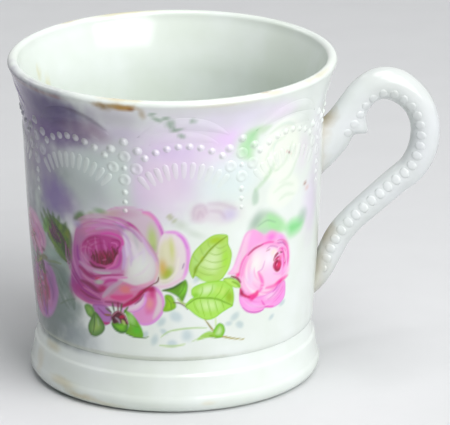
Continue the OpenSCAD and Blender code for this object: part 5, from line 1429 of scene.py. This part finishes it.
# Shares of the middle line's reach and height, of the thickness outwards and inwards, and of width
handle_shares = np.array([
    (-0.058, 0.625, 0.86, 0.86, 1.20), (0.055, 0.668, 0.77, 0.81, 1.16),
    (0.171, 0.714, 0.62, 0.70, 1.10), (0.248, 0.757, 0.57, 0.60, 1.05),
    (0.293, 0.786, 0.55, 0.92, 1.02), (0.364, 0.834, 0.54, 0.54, 1.00),
    (0.457, 0.894, 0.52, 0.50, 1.00), (0.586, 0.931, 0.55, 0.55, 1.00),
    (0.725, 0.926, 0.56, 0.56, 1.00), (0.853, 0.886, 0.53, 0.53, 1.00),
    (0.953, 0.824, 0.51, 0.51, 1.00), (1.000, 0.745, 0.50, 0.50, 1.00),
    (0.992, 0.664, 0.50, 0.50, 1.00), (0.944, 0.597, 0.49, 0.49, 1.00),
    (0.866, 0.543, 0.48, 0.48, 0.98), (0.725, 0.489, 0.46, 0.46, 0.96),
    (0.538, 0.411, 0.45, 0.45, 0.94), (0.361, 0.335, 0.43, 0.43, 0.94),
    (0.232, 0.262, 0.43, 0.43, 0.98), (0.151, 0.185, 0.41, 0.42, 1.04),
    (0.093, 0.120, 0.36, 0.40, 1.06), (0.023, 0.058, 0.28, 0.35, 0.96),
    (-0.048, 0.015, 0.18, 0.25, 0.72)])
handle_rows = np.column_stack([
    SHOULDER_R + handle_shares[:, 0] * (HANDLE_FAR_X - SHOULDER_R),
    HANDLE_LOW_Z + handle_shares[:, 1] * HANDLE_H,
    handle_shares[:, 2] * HANDLE_T, handle_shares[:, 3] * HANDLE_T,
    handle_shares[:, 4] * HANDLE_HALF_W])


def inward_of(rings):
    """Unit direction from the middle line to the inner side of the loop, at each ring."""
    step = np.vstack([rings[1:, :2], rings[-1:, :2]]) - np.vstack([rings[:1, :2], rings[:-1, :2]])
    step /= np.hypot(step[:, 0], step[:, 1])[:, None]
    return np.column_stack([step[:, 1], -step[:, 0]])


HANDLE_SIDES = 28
# Each end spreads over the wall by this share, from this far out on, and goes this deep into it
SPREAD, SPREAD_FROM, HANDLE_IN_WALL = 0.16, 3.5, 1.4
rings = smooth_line(handle_rows, steps=6)
inward = inward_of(rings)
tube = []
for ring, n in zip(rings, inward):
    loop = []
    for a in np.linspace(0, 2 * math.pi, HANDLE_SIDES, endpoint=False):
        half = ring[3] if math.cos(a) > 0 else ring[2]
        x, z = ring[0] + n[0] * half * math.cos(a), ring[1] + n[1] * half * math.cos(a)
        y = ring[4] * math.sin(a)
        wall = math.sqrt(max(0.0, float(wall_r(z)) ** 2 - y * y))
        y *= 1 + SPREAD * max(0.0, 1 - abs(x - wall) / SPREAD_FROM) ** 2
        loop.append(Vector((max(x, wall - HANDLE_IN_WALL), y, z)) * MM)
    tube.append(loop)
bm = bmesh.new()
sweep(bm, tube)
handle = finish_piece(bm, "handle")

# The same glaze, thicker and a little greyer here, and brown where soil has crept into the joints.
# A stain reaches from the wall to the second distance and is full at the first, and each of its
# two spots does the same round a corner. Its edge is ragged by this much, in lumps this wide.
HANDLE_WHITE, SOIL_COLOUR = linear("#dcdfe2"), linear("#9a8248")
SOIL_LUMPS, SOIL_RAGGED = 3.85, 5.0
JOINT_SOIL_X, JOINT_SOIL = (37.0, 40.8), 0.3
CORNER_X, CORNERS_Z, CORNER_SOIL_R, CORNER_SOIL = 41.0, (38.0, 71.0), (2.5, 8.0), 0.75


def soil_from(tree, distance, full_and_none, strength):
    """The strength of soil that fades from full to none between two distances in millimetres."""
    faded = add(tree, "MapRange", [("Value", distance)])
    faded.inputs["From Min"].default_value = full_and_none[1] * MM
    faded.inputs["From Max"].default_value = full_and_none[0] * MM
    faded.inputs["To Max"].default_value = strength
    return faded.outputs[0]


stained = glaze.copy()
stained.name = "clear_glaze_soiled_at_joints"
tree = stained.node_tree
shader = tree.nodes["Principled BSDF"]
coords = next(n for n in tree.nodes if n.type == "TEX_COORD")
before = shader.inputs["Base Color"].links[0].from_socket
apart = add(tree, "SeparateXYZ", [("Vector", coords.outputs["Object"])])
patch = add(tree, "TexNoise", [("Vector", coords.outputs["Object"])],
            Scale=1 / (SOIL_LUMPS * MM), Detail=4.0)
ragged = add(tree, "Math", [(0, patch.outputs["Fac"])], operation="MULTIPLY")
ragged.inputs[1].default_value = SOIL_RAGGED * MM
reach = add(tree, "Math", [(0, apart.outputs["X"]), (1, ragged.outputs[0])], operation="SUBTRACT")
soil = soil_from(tree, reach.outputs[0], JOINT_SOIL_X, JOINT_SOIL)
# Most of it lies in the two corners that open upwards
for corner_z in CORNERS_Z:
    far = add(tree, "VectorMath", [("Vector", coords.outputs["Object"])], operation="DISTANCE")
    far.inputs[1].default_value = Vector((CORNER_X, 0, corner_z)) * MM
    wavy = add(tree, "Math", [(0, far.outputs["Value"]), (1, ragged.outputs[0])], operation="ADD")
    spot = soil_from(tree, wavy.outputs[0], CORNER_SOIL_R, CORNER_SOIL)
    soil = add(tree, "Math", [(0, soil), (1, spot)], operation="MAXIMUM").outputs[0]
mixed = add(tree, "Mix", [("Factor", soil)], data_type="RGBA")
mixed.inputs[7].default_value = (*SOIL_COLOUR, 1)
tree.links.new(before, mixed.inputs[6])
tree.links.new(mixed.outputs[2], shader.inputs["Base Color"])
colour_points(handle, HANDLE_WHITE)
handle.data.materials.append(stained)

# The row of pearls on each side starts at this share of the loop's length and ends this far from
# the wall, and lies inwards of the middle line by these shares of the thickness
BEAD_D, BEAD_PITCH, BEAD_START_SHARE, BEAD_WALL_GAP = 2.3, 2.9, 0.13, 1.35
BEAD_IN_START, BEAD_IN_END = 0.31, 0.12
rings = smooth_line(handle_rows, steps=2)
inward = inward_of(rings)
row_in = HANDLE_T * np.linspace(BEAD_IN_START, BEAD_IN_END, len(rings))
row = rings[:, :2] + row_in[:, None] * inward
lengths = np.concatenate([[0], np.cumsum(np.hypot(*np.diff(row, axis=0).T))])
lower = slice(len(rings) // 2, None)
row_end = np.interp(-BEAD_WALL_GAP, wall_r(row[lower, 1]) - row[lower, 0], lengths[lower])
row_start = BEAD_START_SHARE * lengths[-1]
steps = int((row_end - row_start) / BEAD_PITCH)
# A lower pearl than those on the wall, half drowned in the thick glaze
low_outline = [(math.cos(a) * 1.1, math.sin(a) * 0.24 - 0.08)
               for a in np.radians(np.linspace(90, 18, 8))]
low_outline += [(1.2, -0.13), (1.34, -0.3), (0, -0.5)]
values = np.column_stack([row, inward, rings[:, 3:5], row_in])
places = []
for s in np.linspace(row_start, row_end, steps + 1):
    x, z, in_x, in_z, half_t, half_w, aside = (
        float(np.interp(s, lengths, value)) for value in values.T)
    spot = math.acos(aside / half_t)
    lean = math.atan2(math.cos(spot) / half_t, math.sin(spot) / half_w)
    for side in (-1, 1):
        place = Vector((x, side * half_w * math.sin(spot), z)) * MM
        out = Vector((in_x * math.sin(lean), side * math.cos(lean), in_z * math.sin(lean)))
        places.append((place, out.normalized(), BEAD_D, low_outline))
handle_beads = pearls("handle_beads", places)
colour_points(handle_beads, HANDLE_WHITE)
handle_beads.data.materials.append(stained)
